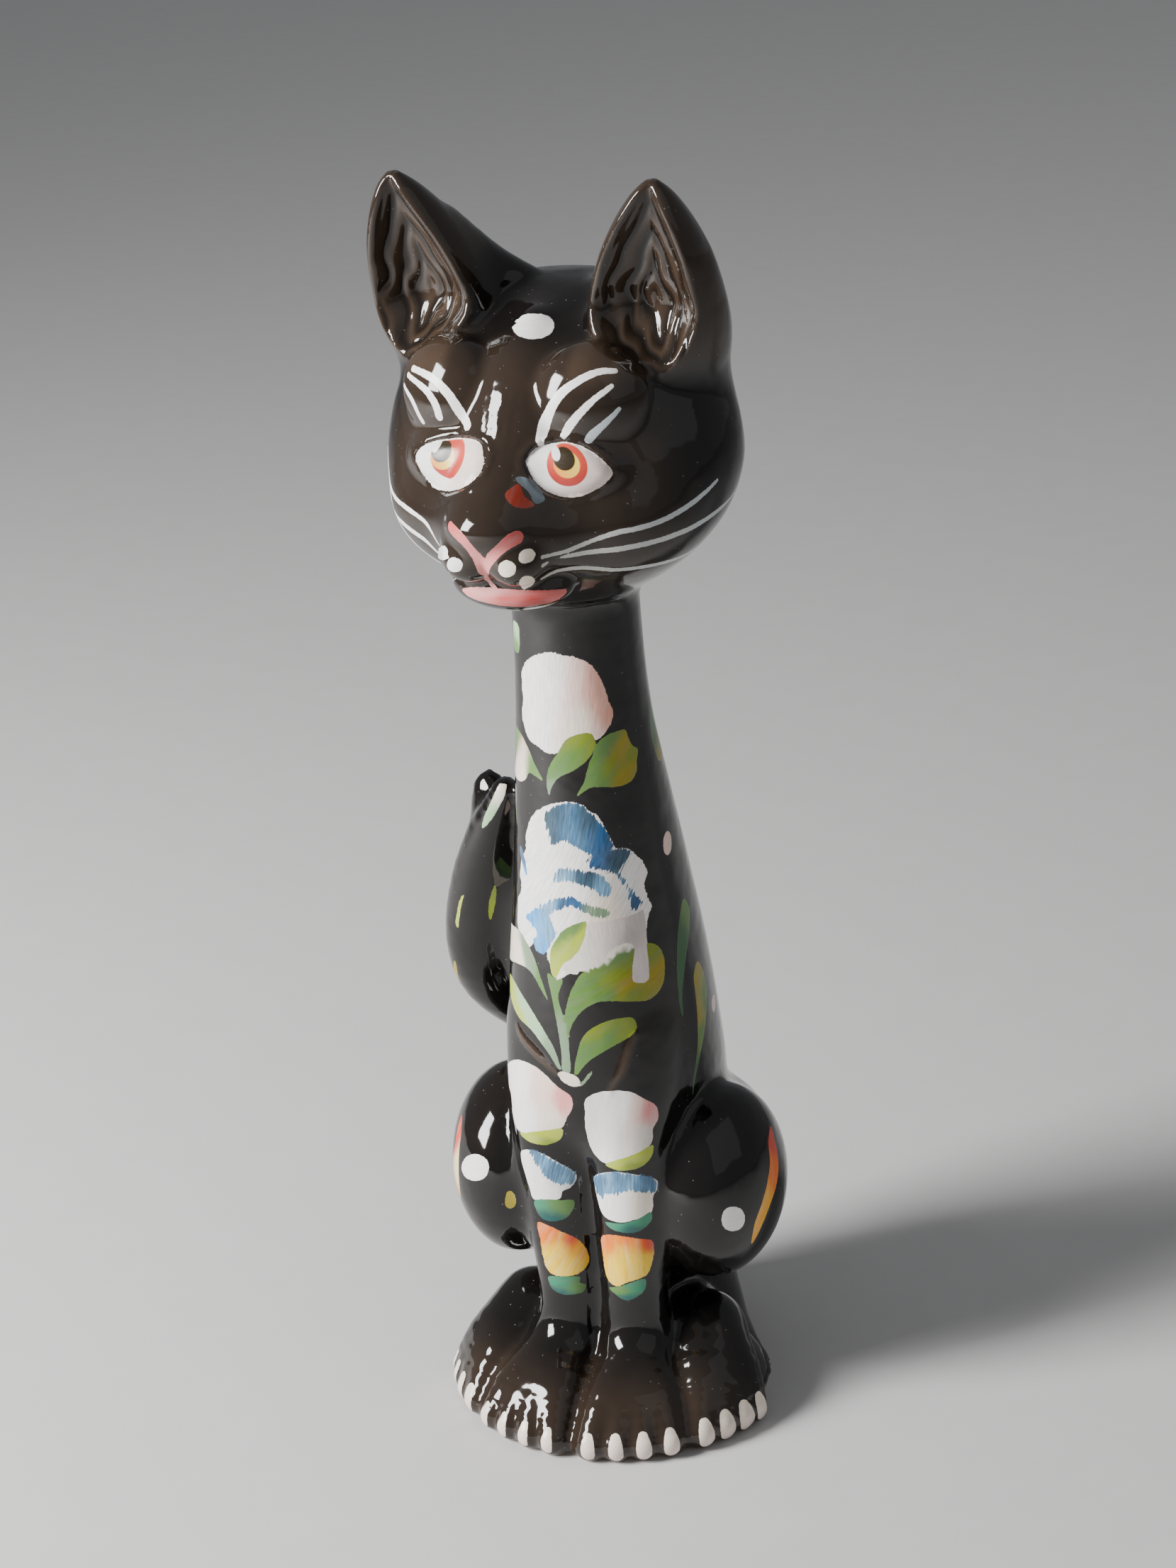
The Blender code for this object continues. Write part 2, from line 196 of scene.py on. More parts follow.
# %% The whole body
def body(points):
    shape = join(column(points, body_levels), ball(points, (0.0, 13.0, 48.0), (25.5, 27.0, 40.0)), 8.0)
    legs = join(limb(points, foreleg), limb(points, mirrored(foreleg, -1)), 2.0)
    for side in (-1, 1):
        hip = ball(points, (side * 19.0, 11.0, 53.0), (18.5, 23.5, 27.5), turn=-6 * side)
        haunch = ball(points, (side * 28.0, -7.0, 61.0), (17.5, 22.0, 26.2), turn=-10 * side, tip=-8)
        shape = join(shape, join(hip, haunch, 9.0), 3.0)
    shape = join(shape, legs, 4.5)
    feet = ball(points, (0.0, -13.0, -1.0), (40.5, 39.5, 13.0))
    for side in (-1, 1):
        feet = join(feet, paw(points, hind_instep, hind_toes, side), 3.6)
        feet = join(feet, paw(points, fore_instep, fore_toes, side), 3.6)
    shape = join(shape, feet, 4.0)
    tail = join(limb(points, tail_path), ball(points, (-25.0, 6.0, 127.0), (10.5, 7.5, 41.0), lean=-13), 4.0)
    return join(shape, tail, 2.5)

# %% [markdown]
# ## The head
#
# The head is a wide pear on the thin neck, turned a few degrees to the cat's right. Heavy rounded brows overhang
# almond eyes, a broad bridge runs down to the nose, and two whisker pads and a lip make the muzzle. The ears are
# thick cones that are scooped out in front.

# %% Head and ears
head_turn = -5.5
head_half_width, head_half_depth = 45.3, 34.0
head_levels = tuple((z, y, head_half_width * wide, head_half_depth * deep) for z, y, wide, deep in (
    (300.2, 3.6, 0.05, 0.05), (299.8, 3.4, 0.20, 0.17), (298.8, 3.0, 0.36, 0.30),
    (296.0, 1.5, 0.56, 0.46), (291.0, -1.5, 0.72, 0.62),
    (285.5, -4.0, 0.82, 0.77), (278.0, -5.5, 0.90, 0.87), (269.0, -6.5, 0.97, 0.93), (258.0, -8.0, 1.0, 0.97),
    (248.0, -11.0, 0.95, 0.93), (240.0, -13.0, 0.83, 0.81), (233.0, -12.5, 0.65, 0.68),
    (228.0, -10.5, 0.48, 0.57), (224.0, -8.0, 0.34, 0.46)))
ear_base, ear_tip = np.array([26.2, -6.0, 282.0]), np.array([33.5, -20.5, 328.0])
ear_size = 18.0
ear_shares = ((-1.1, 0.2), (-0.6, 0.52), (-0.25, 0.78), (0.0, 0.92), (0.2, 0.95), (0.4, 0.87), (0.6, 0.73),
              (0.78, 0.52), (0.92, 0.29), (1.0, 0.08))
ear_opening = ((327.0, 33.6, -22.5, 0.3), (320.0, 32.5, -22.0, 3.6), (312.0, 31.2, -21.5, 7.8),
               (304.0, 30.2, -21.0, 11.0), (297.0, 29.8, -20.5, 12.8), (291.0, 31.5, -22.0, 10.6),
               (285.0, 33.5, -24.5, 5.6), (280.0, 34.5, -26.5, 1.0))

print("ear from", ear_base, "to", ear_tip)


# %% Ears
def head_points(points):
    """The same points seen from the head, whose middle plane is x = 0."""
    turn = turned(head_turn)
    return (points - [0.0, neck_y, 0.0]) @ turn + [0.0, neck_y, 0.0]


def ear(q):
    """Thick leaning ear for x > 0, and the pointed bowl that opens it in front."""
    along = (q[:, 2] - ear_base[2]) / (ear_tip[2] - ear_base[2])
    middle = ear_base + np.clip(along, -1.0, 1.0)[:, None] * (ear_tip - ear_base)
    rows = smooth_path(np.array(ear_shares), 6)
    radius = ear_size * np.interp(along, rows[:, 0], rows[:, 1])
    cone = np.maximum((np.linalg.norm((q - middle)[:, :2], axis=1) - radius) * 0.9, q[:, 2] - ear_tip[2])
    rows = smooth_path(np.array(ear_opening)[::-1], 6)
    x, y, half = (np.interp(q[:, 2], rows[:, 0], rows[:, k]) for k in (1, 2, 3))
    share = (q[:, 0] - x) / half
    bowl = (q[:, 1] - y - 0.6 * half * (1.0 - share ** 2)) / np.sqrt(1.0 + 1.44 * share ** 2)
    return cone, np.maximum(bowl, 280.5 - q[:, 2])


# %% The head, and the whole form
def head(points):
    q = head_points(points)
    s = q * [0.0, 1.0, 1.0] + np.abs(q) * [1.0, 0.0, 0.0]       # both halves of the face at once
    shape = join(column(q, head_levels), ball(s, (17.0, -20.0, 249.0), (20.0, 19.0, 15.0), turn=20), 6.0)
    cone, bowl = ear(s)
    cone = join(cone, limb(s, ((6.0, 2.0, 291.0, 7.0), (18.0, -4.0, 299.0, 7.5), (27.0, -10.0, 312.0, 5.0))), 4.0)
    shape = join(shape, carve(cone, bowl, 1.8), 4.0)
    shape = join(shape, ball(q, (0.0, -36.0, 249.0), (18.5, 17.0, 12.5)), 7.0)
    shape = join(shape, limb(q, ((0.0, -18.5, 292.0, 4.0), (0.0, -23.5, 284.0, 7.5), (0.0, -28.0, 275.0, 9.6),
                                 (0.0, -33.2, 264.5, 10.3), (0.0, -42.3, 255.0, 9.6))), 8.0)
    shape = join(shape, ball(s, (18.4, -27.6, 278.6), (13.8, 9.2, 12.8), turn=18, tip=-14), 1.8)
    shape = join(shape, ball(s, (14.8, -31.2, 262.6), (15.0, 9.6, 9.8), turn=9), 1.6)
    shape = join(shape, ball(q, (0.0, -50.0, 252.2), (8.6, 6.4, 4.8)), 4.0)
    shape = join(shape, ball(s, (6.0, -46.5, 243.8), (7.0, 7.8, 5.9)), 3.0)
    return join(shape, ball(q, (0.0, -38.5, 235.5), (15.5, 10.0, 6.5)), 2.0)


def form(points):
    """How far each point lies outside the cat's skin."""
    low, high = points[:, 2] < 254.0, points[:, 2] > 210.0
    below, above = np.full(len(points), FAR), np.full(len(points), FAR)
    below[low], above[high] = body(points[low]), head(points[high])
    return -join(-join(below, above, 3.0), points[:, 2], 1.2)

# %% [markdown]
# ## The skin
#
# The mesh starts from the solid's own skin, cut into an even grid. Each point is then pulled onto the soft form:
# the distance says how far to go and its slope says which way. Where the glaze carries paint or fine relief, the
# grid is halved, and halved again along the edges of the brush strokes.

# %% Pull points onto the form
def slope(shape, points, step=0.05):
    """Direction in which the distance grows."""
    rise = [shape(points + step * axis) - shape(points - step * axis) for axis in np.eye(3)]
    return np.stack(rise, 1) / (2 * step)


def pull(shape, points, turns=1):
    for _ in range(turns):
        grade = slope(shape, points)
        size = np.maximum((grade ** 2).sum(1), 0.2)
        points = points - np.clip(shape(points) / size, -1.5, 1.5)[:, None] * grade
    return points


def relax(points, pairs, amount=0.5):
    """Moves each point towards the middle of its neighbours, which evens out the grid."""
    ends, others = np.append(pairs[:, 0], pairs[:, 1]), np.append(pairs[:, 1], pairs[:, 0])
    count = np.bincount(ends, minlength=len(points))
    middle = np.stack([np.bincount(ends, points[others, k], len(points)) for k in range(3)], 1) / count[:, None]
    return points + amount * (middle - points)

# %% Lay an even grid over the solid
coarse_step = 2.1
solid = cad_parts["cat_figurine"]
cat = bpy.data.objects.new("painted_cat", solid.data.copy())
bpy.context.scene.collection.objects.link(cat)
even = cat.modifiers.new("even grid", "REMESH")
even.mode, even.voxel_size = "VOXEL", coarse_step * MM
cat.data = bpy.data.meshes.new_from_object(cat.evaluated_get(bpy.context.evaluated_depsgraph_get()))
cat.modifiers.clear()

grid = bmesh.new()
grid.from_mesh(cat.data)
bmesh.ops.triangulate(grid, faces=grid.faces)
skin_points = np.array([v.co[:] for v in grid.verts]) / MM + OUTLINE_MIDDLE
pairs = np.array([[v.index for v in edge.verts] for edge in grid.edges])
for _ in range(3):
    skin_points = pull(form, relax(skin_points, pairs))
print("coarse skin:", len(skin_points), "points, worst miss", round(np.abs(form(skin_points)).max(), 2), "mm")

# %% [markdown]
# ## Fine relief
#
# The mould left finer marks than the soft volumes carry. Nested ridges repeat the outline of each ear's bowl,
# the lids stand round the almond eyes, four short wrinkles run down the bridge of the nose, and a low ridge
# frames the top of each foreleg. All of them are less than half a millimetre high.

# %% Outlines seen from one side
def seen_from(points, azimuth):
    """Sideways and upward places of points as seen from an azimuth."""
    around = radians(azimuth)
    return np.stack([points[:, 0] * cos(around) + points[:, 1] * sin(around), points[:, 2]], 1)


def closed_path(corners, steps=4):
    """Smooth closed curve through the corners."""
    c = np.array(corners, float)
    return smooth_path(np.vstack([c[-1:], c, c[:1], c[1:2]]), steps)[steps:-1 - steps]


def outside(places, ring):
    """Distance of flat places from a closed curve, negative inside it."""
    start, end = ring, np.roll(ring, -1, 0)
    nearest, inside = np.full(len(places), 1e9), np.zeros(len(places), bool)
    for a, b in zip(start, end):
        along = b - a
        t = np.clip((places - a) @ along / (along @ along + 1e-12), 0.0, 1.0)
        nearest = np.minimum(nearest, ((places - a - t[:, None] * along) ** 2).sum(1))
        if a[1] != b[1]:
            crosses = (a[1] > places[:, 1]) != (b[1] > places[:, 1])
            inside ^= crosses & (places[:, 0] < a[0] + (places[:, 1] - a[1]) * along[0] / along[1])
    return np.where(inside, -1.0, 1.0) * np.sqrt(nearest)


def rise(value, low, high):
    """Soft step from 0 at low to 1 at high."""
    t = np.clip((value - low) / (high - low), 0.0, 1.0)
    return t * t * (3.0 - 2.0 * t)

# %% Relief marks
eye_outlines = (
    (25, ((-14.4, 266.4), (-11.8, 268.9), (-8.2, 269.8), (-4.5, 270.2), (-1.0, 269.3), (2.4, 267.1), (5.4, 263.7),
          (4.2, 261.5), (1.1, 259.4), (-2.7, 258.0), (-6.4, 258.1), (-10.0, 259.7), (-12.7, 262.4), (-13.9, 265.0))),
    (-30, ((-6.2, 264.4), (-3.3, 267.0), (0.8, 268.7), (6.5, 269.7), (12.7, 270.2), (16.5, 268.6), (18.4, 265.2),
           (17.0, 262.0), (11.4, 259.4), (6.5, 257.8), (1.7, 257.4), (-2.9, 259.3), (-5.1, 262.2))))
leg_ridges = (
    ((-17.5, -26.5, 111.0, 0.3), (-14.3, -28.9, 108.0, 0.9), (-9.5, -32.0, 105.5, 1.0), (-3.7, -33.8, 102.0, 0.4)),
    ((16.0, -27.5, 112.5, 0.3), (14.2, -28.8, 108.5, 0.9), (12.6, -30.6, 103.0, 1.0), (9.5, -32.3, 97.5, 0.4)))
ridge_spacing, ridge_height, lid_height = 3.1, 0.22, 0.45


def ear_ridges(s):
    """Nested ridges inside the bowl of an ear at x > 0."""
    rows = smooth_path(np.array(ear_opening)[::-1], 6)
    x, y, half = (np.interp(s[:, 2], rows[:, 0], rows[:, k]) for k in (1, 2, 3))
    share = np.abs(s[:, 0] - x) / half
    wander = 0.5 * np.sin(0.55 * s[:, 2] + 0.2 * s[:, 0]) + 0.4 * np.sin(0.9 * s[:, 0] - 0.35 * s[:, 2])
    field = 0.8 * half * (1.0 - share) + wander * rise(s[:, 2], 318.0, 300.0)
    bowl = rise(share, 1.0, 0.8) * rise(s[:, 2], 281.0, 285.0) * rise(s[:, 2], 326.0, 322.0)
    bowl *= s[:, 1] < y + 0.6 * half * (1.0 - share ** 2) + 2.0
    return bowl * ridge_height * np.cos(2 * pi * field / ridge_spacing)


def lids(points):
    """Raised lids round the eyes, and eyeballs that swell a little inside them."""
    height = np.zeros(len(points))
    for azimuth, corners in eye_outlines:
        near = (points[:, 1] < -24.0) & (np.abs(points[:, 2] - 264.0) < 11.0)
        near &= (points[:, 0] > -2.0) == (azimuth > 0)
        gap = outside(seen_from(points[near], azimuth), closed_path(corners))
        upper = rise(points[near, 2], 262.0, 268.0)
        height[near] += (0.5 * rise(gap, 0.0, -2.5) - 0.3 * np.exp(-(gap / 0.4) ** 2)
                         + lid_height * (0.6 + upper) * np.exp(-((gap - 1.1) / 0.65) ** 2))
    return height


def relief(points):
    """Height of the fine marks above the soft form."""
    q = head_points(points)
    s = np.abs(q) * [1.0, 0.0, 0.0] + q * [0.0, 1.0, 1.0]
    height = ear_ridges(s) + lids(points)
    bridge = rise(q[:, 2], 267.0, 270.5) * rise(q[:, 2], 283.0, 278.0) * (q[:, 1] < -20.0)
    for place in (-3.6, -1.2, 1.2, 3.6):
        sway = 0.05 * (q[:, 2] - 274.0) * np.sign(place)
        height -= 0.16 * bridge * np.exp(-((q[:, 0] - place - sway) / 0.5) ** 2)
    for ridge in leg_ridges:
        height += 0.5 * rise(limb(points, ridge), 0.9, -0.9)
    return height


def full_form(points):
    return form(points) - relief(points)

print("relief near the eyes:", np.round(relief(np.array([[14.0, -42.0, 265.0], [0.0, -43.0, 272.0]])), 2))

# %% [markdown]
# ## Brush marks
#
# The flowers, leaves, eyes and whiskers are enamel, laid on the fired glaze with a few quick brushes. A patch is
# an outline as seen from one side of the cat, in millimetres, with a few drops of colour that run into each
# other along the brush. A stroke is a soft line with its half-width at each station. Marks sit on three layers,
# and a mark on a later layer covers what is under it.

# %% Enamel colours
def enamel(*levels):
    """Linear colour from screen levels."""
    return tuple(((v / 255 + 0.055) / 1.055) ** 2.4 if v > 10 else v / 255 / 12.92 for v in levels)


palette = {name: enamel(*levels) for name, levels in {
    "white": (244, 241, 238), "shell": (232, 214, 205), "cream": (238, 226, 208), "blush": (238, 208, 196),
    "salmon": (224, 168, 150), "pink": (226, 150, 146), "coral": (205, 108, 104), "brick": (170, 60, 58),
    "rust": (128, 48, 36), "grey": (92, 102, 108), "red": (214, 66, 40), "orange": (236, 120, 44),
    "amber": (238, 168, 44), "yellow": (244, 204, 66), "butter": (236, 222, 170), "lime": (172, 186, 66), "ochre": (154, 138, 38),
    "olive": (124, 138, 42), "leaf": (92, 128, 66), "sage": (122, 146, 116), "mint": (158, 192, 150),
    "moss": (58, 96, 60), "teal": (58, 132, 100), "petrol": (30, 80, 78), "sky": (112, 154, 184),
    "azure": (84, 156, 214), "blue": (50, 88, 128), "steel": (78, 116, 148), "slate": (54, 80, 98),
    "mist": (188, 196, 200), "ash": (186, 184, 174), "stone": (190, 180, 174), "chalk": (222, 216, 206),
    "plaster": (222, 211, 205)}.items()}
print(len(palette), "enamels")

# %% The rose: name, layer, azimuth, brush angle, outline, drops of colour
patches = (
    ("rose", 0, 0, 85, ((-10.6, 205.5), (-8.1, 209.1), (-4.5, 211.3), (-1, 212.3), (2, 211.6), (4.8, 211.1),
     (7.8, 209.3), (9.6, 206.3), (10.7, 203), (11.5, 198.7), (12.2, 196), (11.9, 193.5), (10.8, 191.3),
     (9.1, 189.6), (6, 188.9), (2.1, 188), (-0.8, 186.3), (-3.8, 185.9), (-6.1, 187), (-9, 188),
     (-10.7, 190.3), (-11.5, 194), (-10.9, 197.9), (-10.9, 202)), ((-6.3, 203.4, "white"),
     (-5.8, 192.2, "white"), (-0.5, 204.2, "white"), (3.9, 202.8, "blush"), (8.8, 202.9, "salmon"),
     (11, 195.8, "salmon"), (4.8, 193.1, "cream"), (8.7, 190.6, "blush"),)),
    ("rose leaf left", 1, -45, 70, ((-0.3, 188.8), (4.7, 188.4), (8.3, 185.9), (11.3, 181.8), (13.7, 178.5),
     (11.4, 179.1), (8.8, 179.4), (7.3, 177.2), (3.6, 175.5), (-2.5, 175.8), (-0.1, 181), (0.1, 185.2)),
     ((1.2, 186.8, "leaf"), (10.3, 181.3, "leaf"), (3.2, 179, "blush"), (4.7, 176.9, "cream"),)),
    ("rose leaf middle", 1, 5, 50, ((-2.9, 186.3), (-0.9, 189.5), (1.7, 191), (5.2, 191.4), (6.4, 189.6),
     (6.3, 187.5), (4.2, 184.3), (0.7, 181.8), (-3, 179.9), (-5, 177.3), (-5.9, 174.9), (-6.4, 178.1),
     (-5.9, 181.3), (-4.6, 184)), ((2.6, 190.3, "olive"), (5.8, 189.2, "olive"), (1.4, 185.9, "leaf"),
     (-4, 181.5, "leaf"), (-5.8, 176.7, "sage"),)),
    ("rose leaf right", 1, 45, 45, ((-9.3, 188.6), (-6.9, 190.2), (-4.2, 190.7), (-1.6, 190.4), (-1, 188.3),
     (0, 185.9), (1.6, 184.4), (0.9, 181.5), (0.5, 179.1), (-1.4, 177.1), (-5.2, 176.6), (-9.7, 177.3),
     (-12.3, 177.3), (-15.3, 175.3), (-13.5, 178.7), (-11.9, 183.2), (-10.5, 186.2)),
     ((-8.3, 186.4, "leaf"), (-11.3, 180.6, "leaf"), (-3.6, 185.4, "ochre"), (-2.5, 180, "ochre"),
     (-9.6, 178.4, "leaf"), (-0.3, 183.5, "olive"), (-7.3, 181.1, "olive"),)),
)
print(len(patches), "patches so far")

# %% [markdown]
# ### The blue flower
#
# A large white flower was laid first, and blue was pulled over it while it was wet, so the bands of blue have
# torn ends. The white is one patch of the lowest layer, and each pull of blue is a ragged patch on the next one.

# %% The blue flower
patches += (
    ("blue ground", 0, 20, 60, ((-23.8, 148.5), (-19.4, 158.2), (-18.9, 162.6), (-17.5, 167.1),
     (-15, 170.6), (-11.3, 173), (-7.3, 173.9), (-3.9, 173.1), (-2.5, 171.5), (-0.4, 170.1), (1.3, 166.5),
     (2.6, 163.2), (3.7, 161), (6.6, 160.2), (8.5, 157.8), (10.1, 155.4), (10.9, 152.5), (10, 149.7),
     (10.7, 145.8), (11.4, 143.5), (10.5, 141.3), (9.7, 137.9), (9, 134.1), (1.8, 131.7), (-5.2, 130.4),
     (-10.3, 129.2), (-13.2, 127.2), (-15.2, 131.4), (-15.9, 136.3), (-17.6, 136.5), (-20.7, 132.8),
     (-22.7, 134.8), (-25.8, 128.3), (-25.4, 135.8), (-24.8, 142.6)), ((-18.6, 155.6, "white"),
     (-14.5, 141.8, "white"), (0.7, 144.8, "cream"), (-5.9, 158.2, "white"), (7.1, 151.2, "white"),)),
    ("blue dome", 1, 10, 80, ((-8.9, 170.1), (-6.6, 172.5), (-2.9, 173.7), (0.6, 172.9), (2.4, 170.9),
     (4.7, 168.2), (6.4, 164.8), (7.2, 161.7), (5.7, 159.5), (3.3, 159.2), (0, 161.3), (-2, 162.5),
     (-5, 163.8), (-8, 161.9), (-8.6, 164.8), (-9.3, 167.2)), ((-6.7, 170.2, "slate"),
     (-3.2, 168.5, "steel"), (0.9, 169.5, "slate"), (4.4, 162, "blue"), (-1.3, 164.4, "steel"),
     (-8.2, 163.8, "slate"),)),
    ("blue band right", 1, 40, 60, ((-12, 159.2), (-9.3, 160.5), (-5.2, 160.9), (-2.6, 160.1),
     (-1.4, 158.7), (-3, 156.7), (-5.1, 154.6), (-3.5, 151.6), (-1.4, 147.9), (0.2, 145.4), (-1.8, 143.9),
     (-3.1, 145.8), (-3.2, 149.5), (-5.4, 153.4), (-8.8, 155.8), (-12, 156.9)), ((-10.5, 158, "blue"),
     (-4.3, 159.1, "slate"), (-3.6, 150.6, "sky"), (-1.4, 145.3, "blue"),)),
    ("blue band second", 1, 15, 80, ((-10, 152.5), (-9, 155.7), (-4.6, 156.3), (-1.2, 155.6), (1.9, 154.4),
     (4, 151.8), (4.2, 149.6), (1.9, 149.1), (-0.9, 151.4), (-4.8, 152.9), (-7.1, 153.4)),
     ((-7.8, 154.6, "sky"), (-2.3, 154.1, "slate"), (2.9, 150.5, "sky"),)),
    ("blue band third", 1, 5, 80, ((-10.4, 143.4), (-9.4, 145.9), (-5.5, 148.2), (-0.7, 149.1),
     (1.3, 147.8), (4.2, 146.7), (7.9, 145.3), (7.4, 143.6), (3.2, 144.7), (-0.3, 146.6), (-4.5, 145.9),
     (-8, 143.3)), ((-7.9, 145.3, "sky"), (-1.8, 148, "blue"), (6, 145.1, "sage"),)),
    ("blue petal left", 1, -20, 110, ((-6.8, 157.4), (-6.4, 158.3), (-5.4, 158.1), (-4, 156.5), (-3.2, 154.6),
     (-2.8, 152.8), (-3.3, 151.4), (-4.2, 152.2), (-5.1, 154), (-6.1, 155.9)), ((-6, 157.2, "steel"),
     (-4.2, 155.2, "blue"), (-3.4, 152.6, "azure"),)),
    ("blue low", 1, -25, 100, ((-1, 140.9), (2.8, 144.1), (5.3, 144.8), (7.1, 144), (9, 140.7),
     (9.9, 138.9), (8.3, 136.1), (7.1, 133.8), (4.9, 132.9), (3.2, 134), (2.2, 135.6), (3.6, 137.9),
     (1.1, 139.9)), ((4.8, 137, "azure"), (7.2, 138.8, "sky"), (5.7, 134.7, "azure"),
     (2.9, 142.9, "azure"),)),
    ("bud leaf", 2, 0, 60, ((-1, 140.3), (2.3, 142.2), (5, 142.9), (5, 141.4), (4.5, 138.6), (3.1, 135.4),
     (0.9, 132.9), (-1.1, 131.5), (-2.5, 128.9), (-3.4, 127.5), (-4.5, 128.6), (-4.9, 131.7), (-4.5, 135),
     (-2.8, 137.9)), ((2.2, 141, "leaf"), (-0.3, 136, "lime"), (3.4, 138.6, "lime"), (-2.9, 130.1, "lime"),
     (-1, 139.1, "leaf"),)),
    ("patch", 1, 35, 95, ((-12.1, 142.2), (-9.7, 142.6), (-7, 142.7), (-1.8, 142.8), (0.8, 143.1),
     (2.7, 143.4), (3, 141.5), (3.1, 139), (2.9, 135.9), (2.7, 131.9), (2.7, 127.8), (2.3, 125.3),
     (1, 124.7), (-1.1, 125.3), (-2.1, 126.3), (-1.7, 129.9), (-0.8, 133.9), (-1.9, 135.8), (-4.1, 136),
     (-7.4, 134.6), (-9.2, 132.2), (-11.6, 130.9), (-14.6, 130.3), (-15.7, 129.1), (-18.1, 129.6),
     (-18.9, 130.9), (-16.8, 132.7), (-14.6, 135.2), (-13, 138.6), (-12.2, 140.6)),
     ((-9.9, 140.1, "plaster"), (0.1, 128.6, "plaster"), (-14.4, 132.2, "chalk"), (-2.3, 137.3, "stone"),
     (-4, 140.9, "plaster"),)),
)
print(len(patches), "patches so far")

# %% [markdown]
# ### Stem and leaves
#
# Each leaf is one press of a brush that carried two greens, so it is one outline with drops of both along it.

# %% Stem and chest leaves
patches += (
    ("stem", 0, -5, 88, ((-3.1, 128.3), (-0.7, 127.5), (1.4, 127.2), (0.2, 123.7), (0.3, 121.3),
     (1.8, 116.6), (2.7, 112.2), (2.9, 108.1), (3, 103), (0.8, 103), (0.7, 107.7), (0.2, 111.8),
     (-0.7, 117), (-1.9, 122.9)), ((-0.7, 125.1, "leaf"), (1.6, 110, "sage"), (1.8, 104.2, "sage"),)),
    ("leaf big", 0, 30, 25, ((-16.6, 112.2), (-16, 114.9), (-13.9, 118.5), (-11.5, 120.6), (-8.4, 121.9),
     (-4.5, 121.6), (0.2, 120.6), (4.4, 119.9), (7.5, 121.3), (9.1, 123.9), (9.6, 128.6), (8.6, 132.1),
     (6.1, 134.3), (1.2, 135.6), (-1.6, 136), (-4.9, 134.6), (-6.7, 132.2), (-9.1, 130.7), (-12.2, 129.4),
     (-13.9, 127), (-15.6, 123.5), (-16.7, 119.9), (-17.2, 116.6)), ((-15.4, 118.4, "leaf"),
     (-11, 125.8, "leaf"), (-3.4, 134, "leaf"), (-4.8, 127, "olive"), (-1, 125.4, "ochre"),
     (7.1, 126.3, "ochre"), (6.3, 131.5, "olive"), (-6.7, 123.2, "leaf"), (-1.3, 121.9, "olive"),)),
    ("leaf lower right", 0, 20, 35, ((-10.6, 102.5), (-10.3, 105.3), (-9.5, 108.2), (-8.6, 111.2),
     (-7, 113.7), (-4.1, 115.7), (-0.6, 116.8), (2.9, 116.9), (5.1, 116.3), (5.9, 114.1), (5.4, 112.8),
     (3.9, 111.6), (1.3, 110.5), (-2.2, 108.9), (-5.5, 107.1), (-7.9, 105), (-9.7, 102.6)),
     ((-8.5, 108.3, "leaf"), (-2.1, 111.8, "leaf"), (3.5, 114.6, "olive"), (-4.2, 114.4, "olive"),)),
    ("leaf upper left", 1, -30, 110, ((-22.9, 128.8), (-4.5, 135.6), (1.8, 134.4), (5.3, 131.5),
     (7.8, 127.3), (9.7, 123.7), (10.7, 121.2), (8.2, 123.7), (5.6, 126.4), (2.2, 127.5), (-3.1, 126.7),
     (-11.2, 124.1), (-23.8, 122.2)), ((-8.2, 131, "cream"), (-1.2, 128.8, "cream"), (1.9, 132.8, "sage"),
     (7.9, 125.7, "leaf"), (4.2, 128.7, "sage"),)),
    ("leaf lower left", 0, -30, 120, ((-9.9, 120.5), (-4.6, 121.1), (0.1, 119.7), (3.9, 117.8),
     (7.7, 114.8), (10.8, 111.5), (13.1, 108.1), (14.7, 103.5), (13.6, 103.9), (11.4, 106.8), (8.3, 109.5),
     (4.7, 111.7), (-0.3, 112.8), (-5.5, 114.7), (-9.3, 116.6)), ((-6.7, 120, "lime"), (0.2, 117.2, "mint"),
     (-0.4, 113.7, "lime"), (5.9, 114.3, "mint"), (12.7, 106.1, "sage"),)),
    ("dot at legs", 2, 0, 20, ((-3.5, 101.9), (-2.5, 102.8), (-0.8, 102.7), (1.3, 102.1), (2.4, 100.9),
     (2.4, 99.6), (1.1, 99), (-0.5, 99.2), (-2.4, 100.2)), ((-0.4, 101.1, "cream"),)),
    ("dash at legs", 2, 10, 60, ((0, 103.7), (-0.7, 102.1), (-1.9, 100.6), (-3.2, 99.2), (-3.5, 99.7),
     (-2.3, 101.2), (-1.3, 102.7)), ((-1.5, 101.6, "sage"),)),
)
print(len(patches), "patches so far")

# %% [markdown]
# ### Marks round the sides
#
# Thin leaves and dots follow the flowers round both sides. They are outlined as seen from there, because an
# outline seen from the front would stretch over the side.

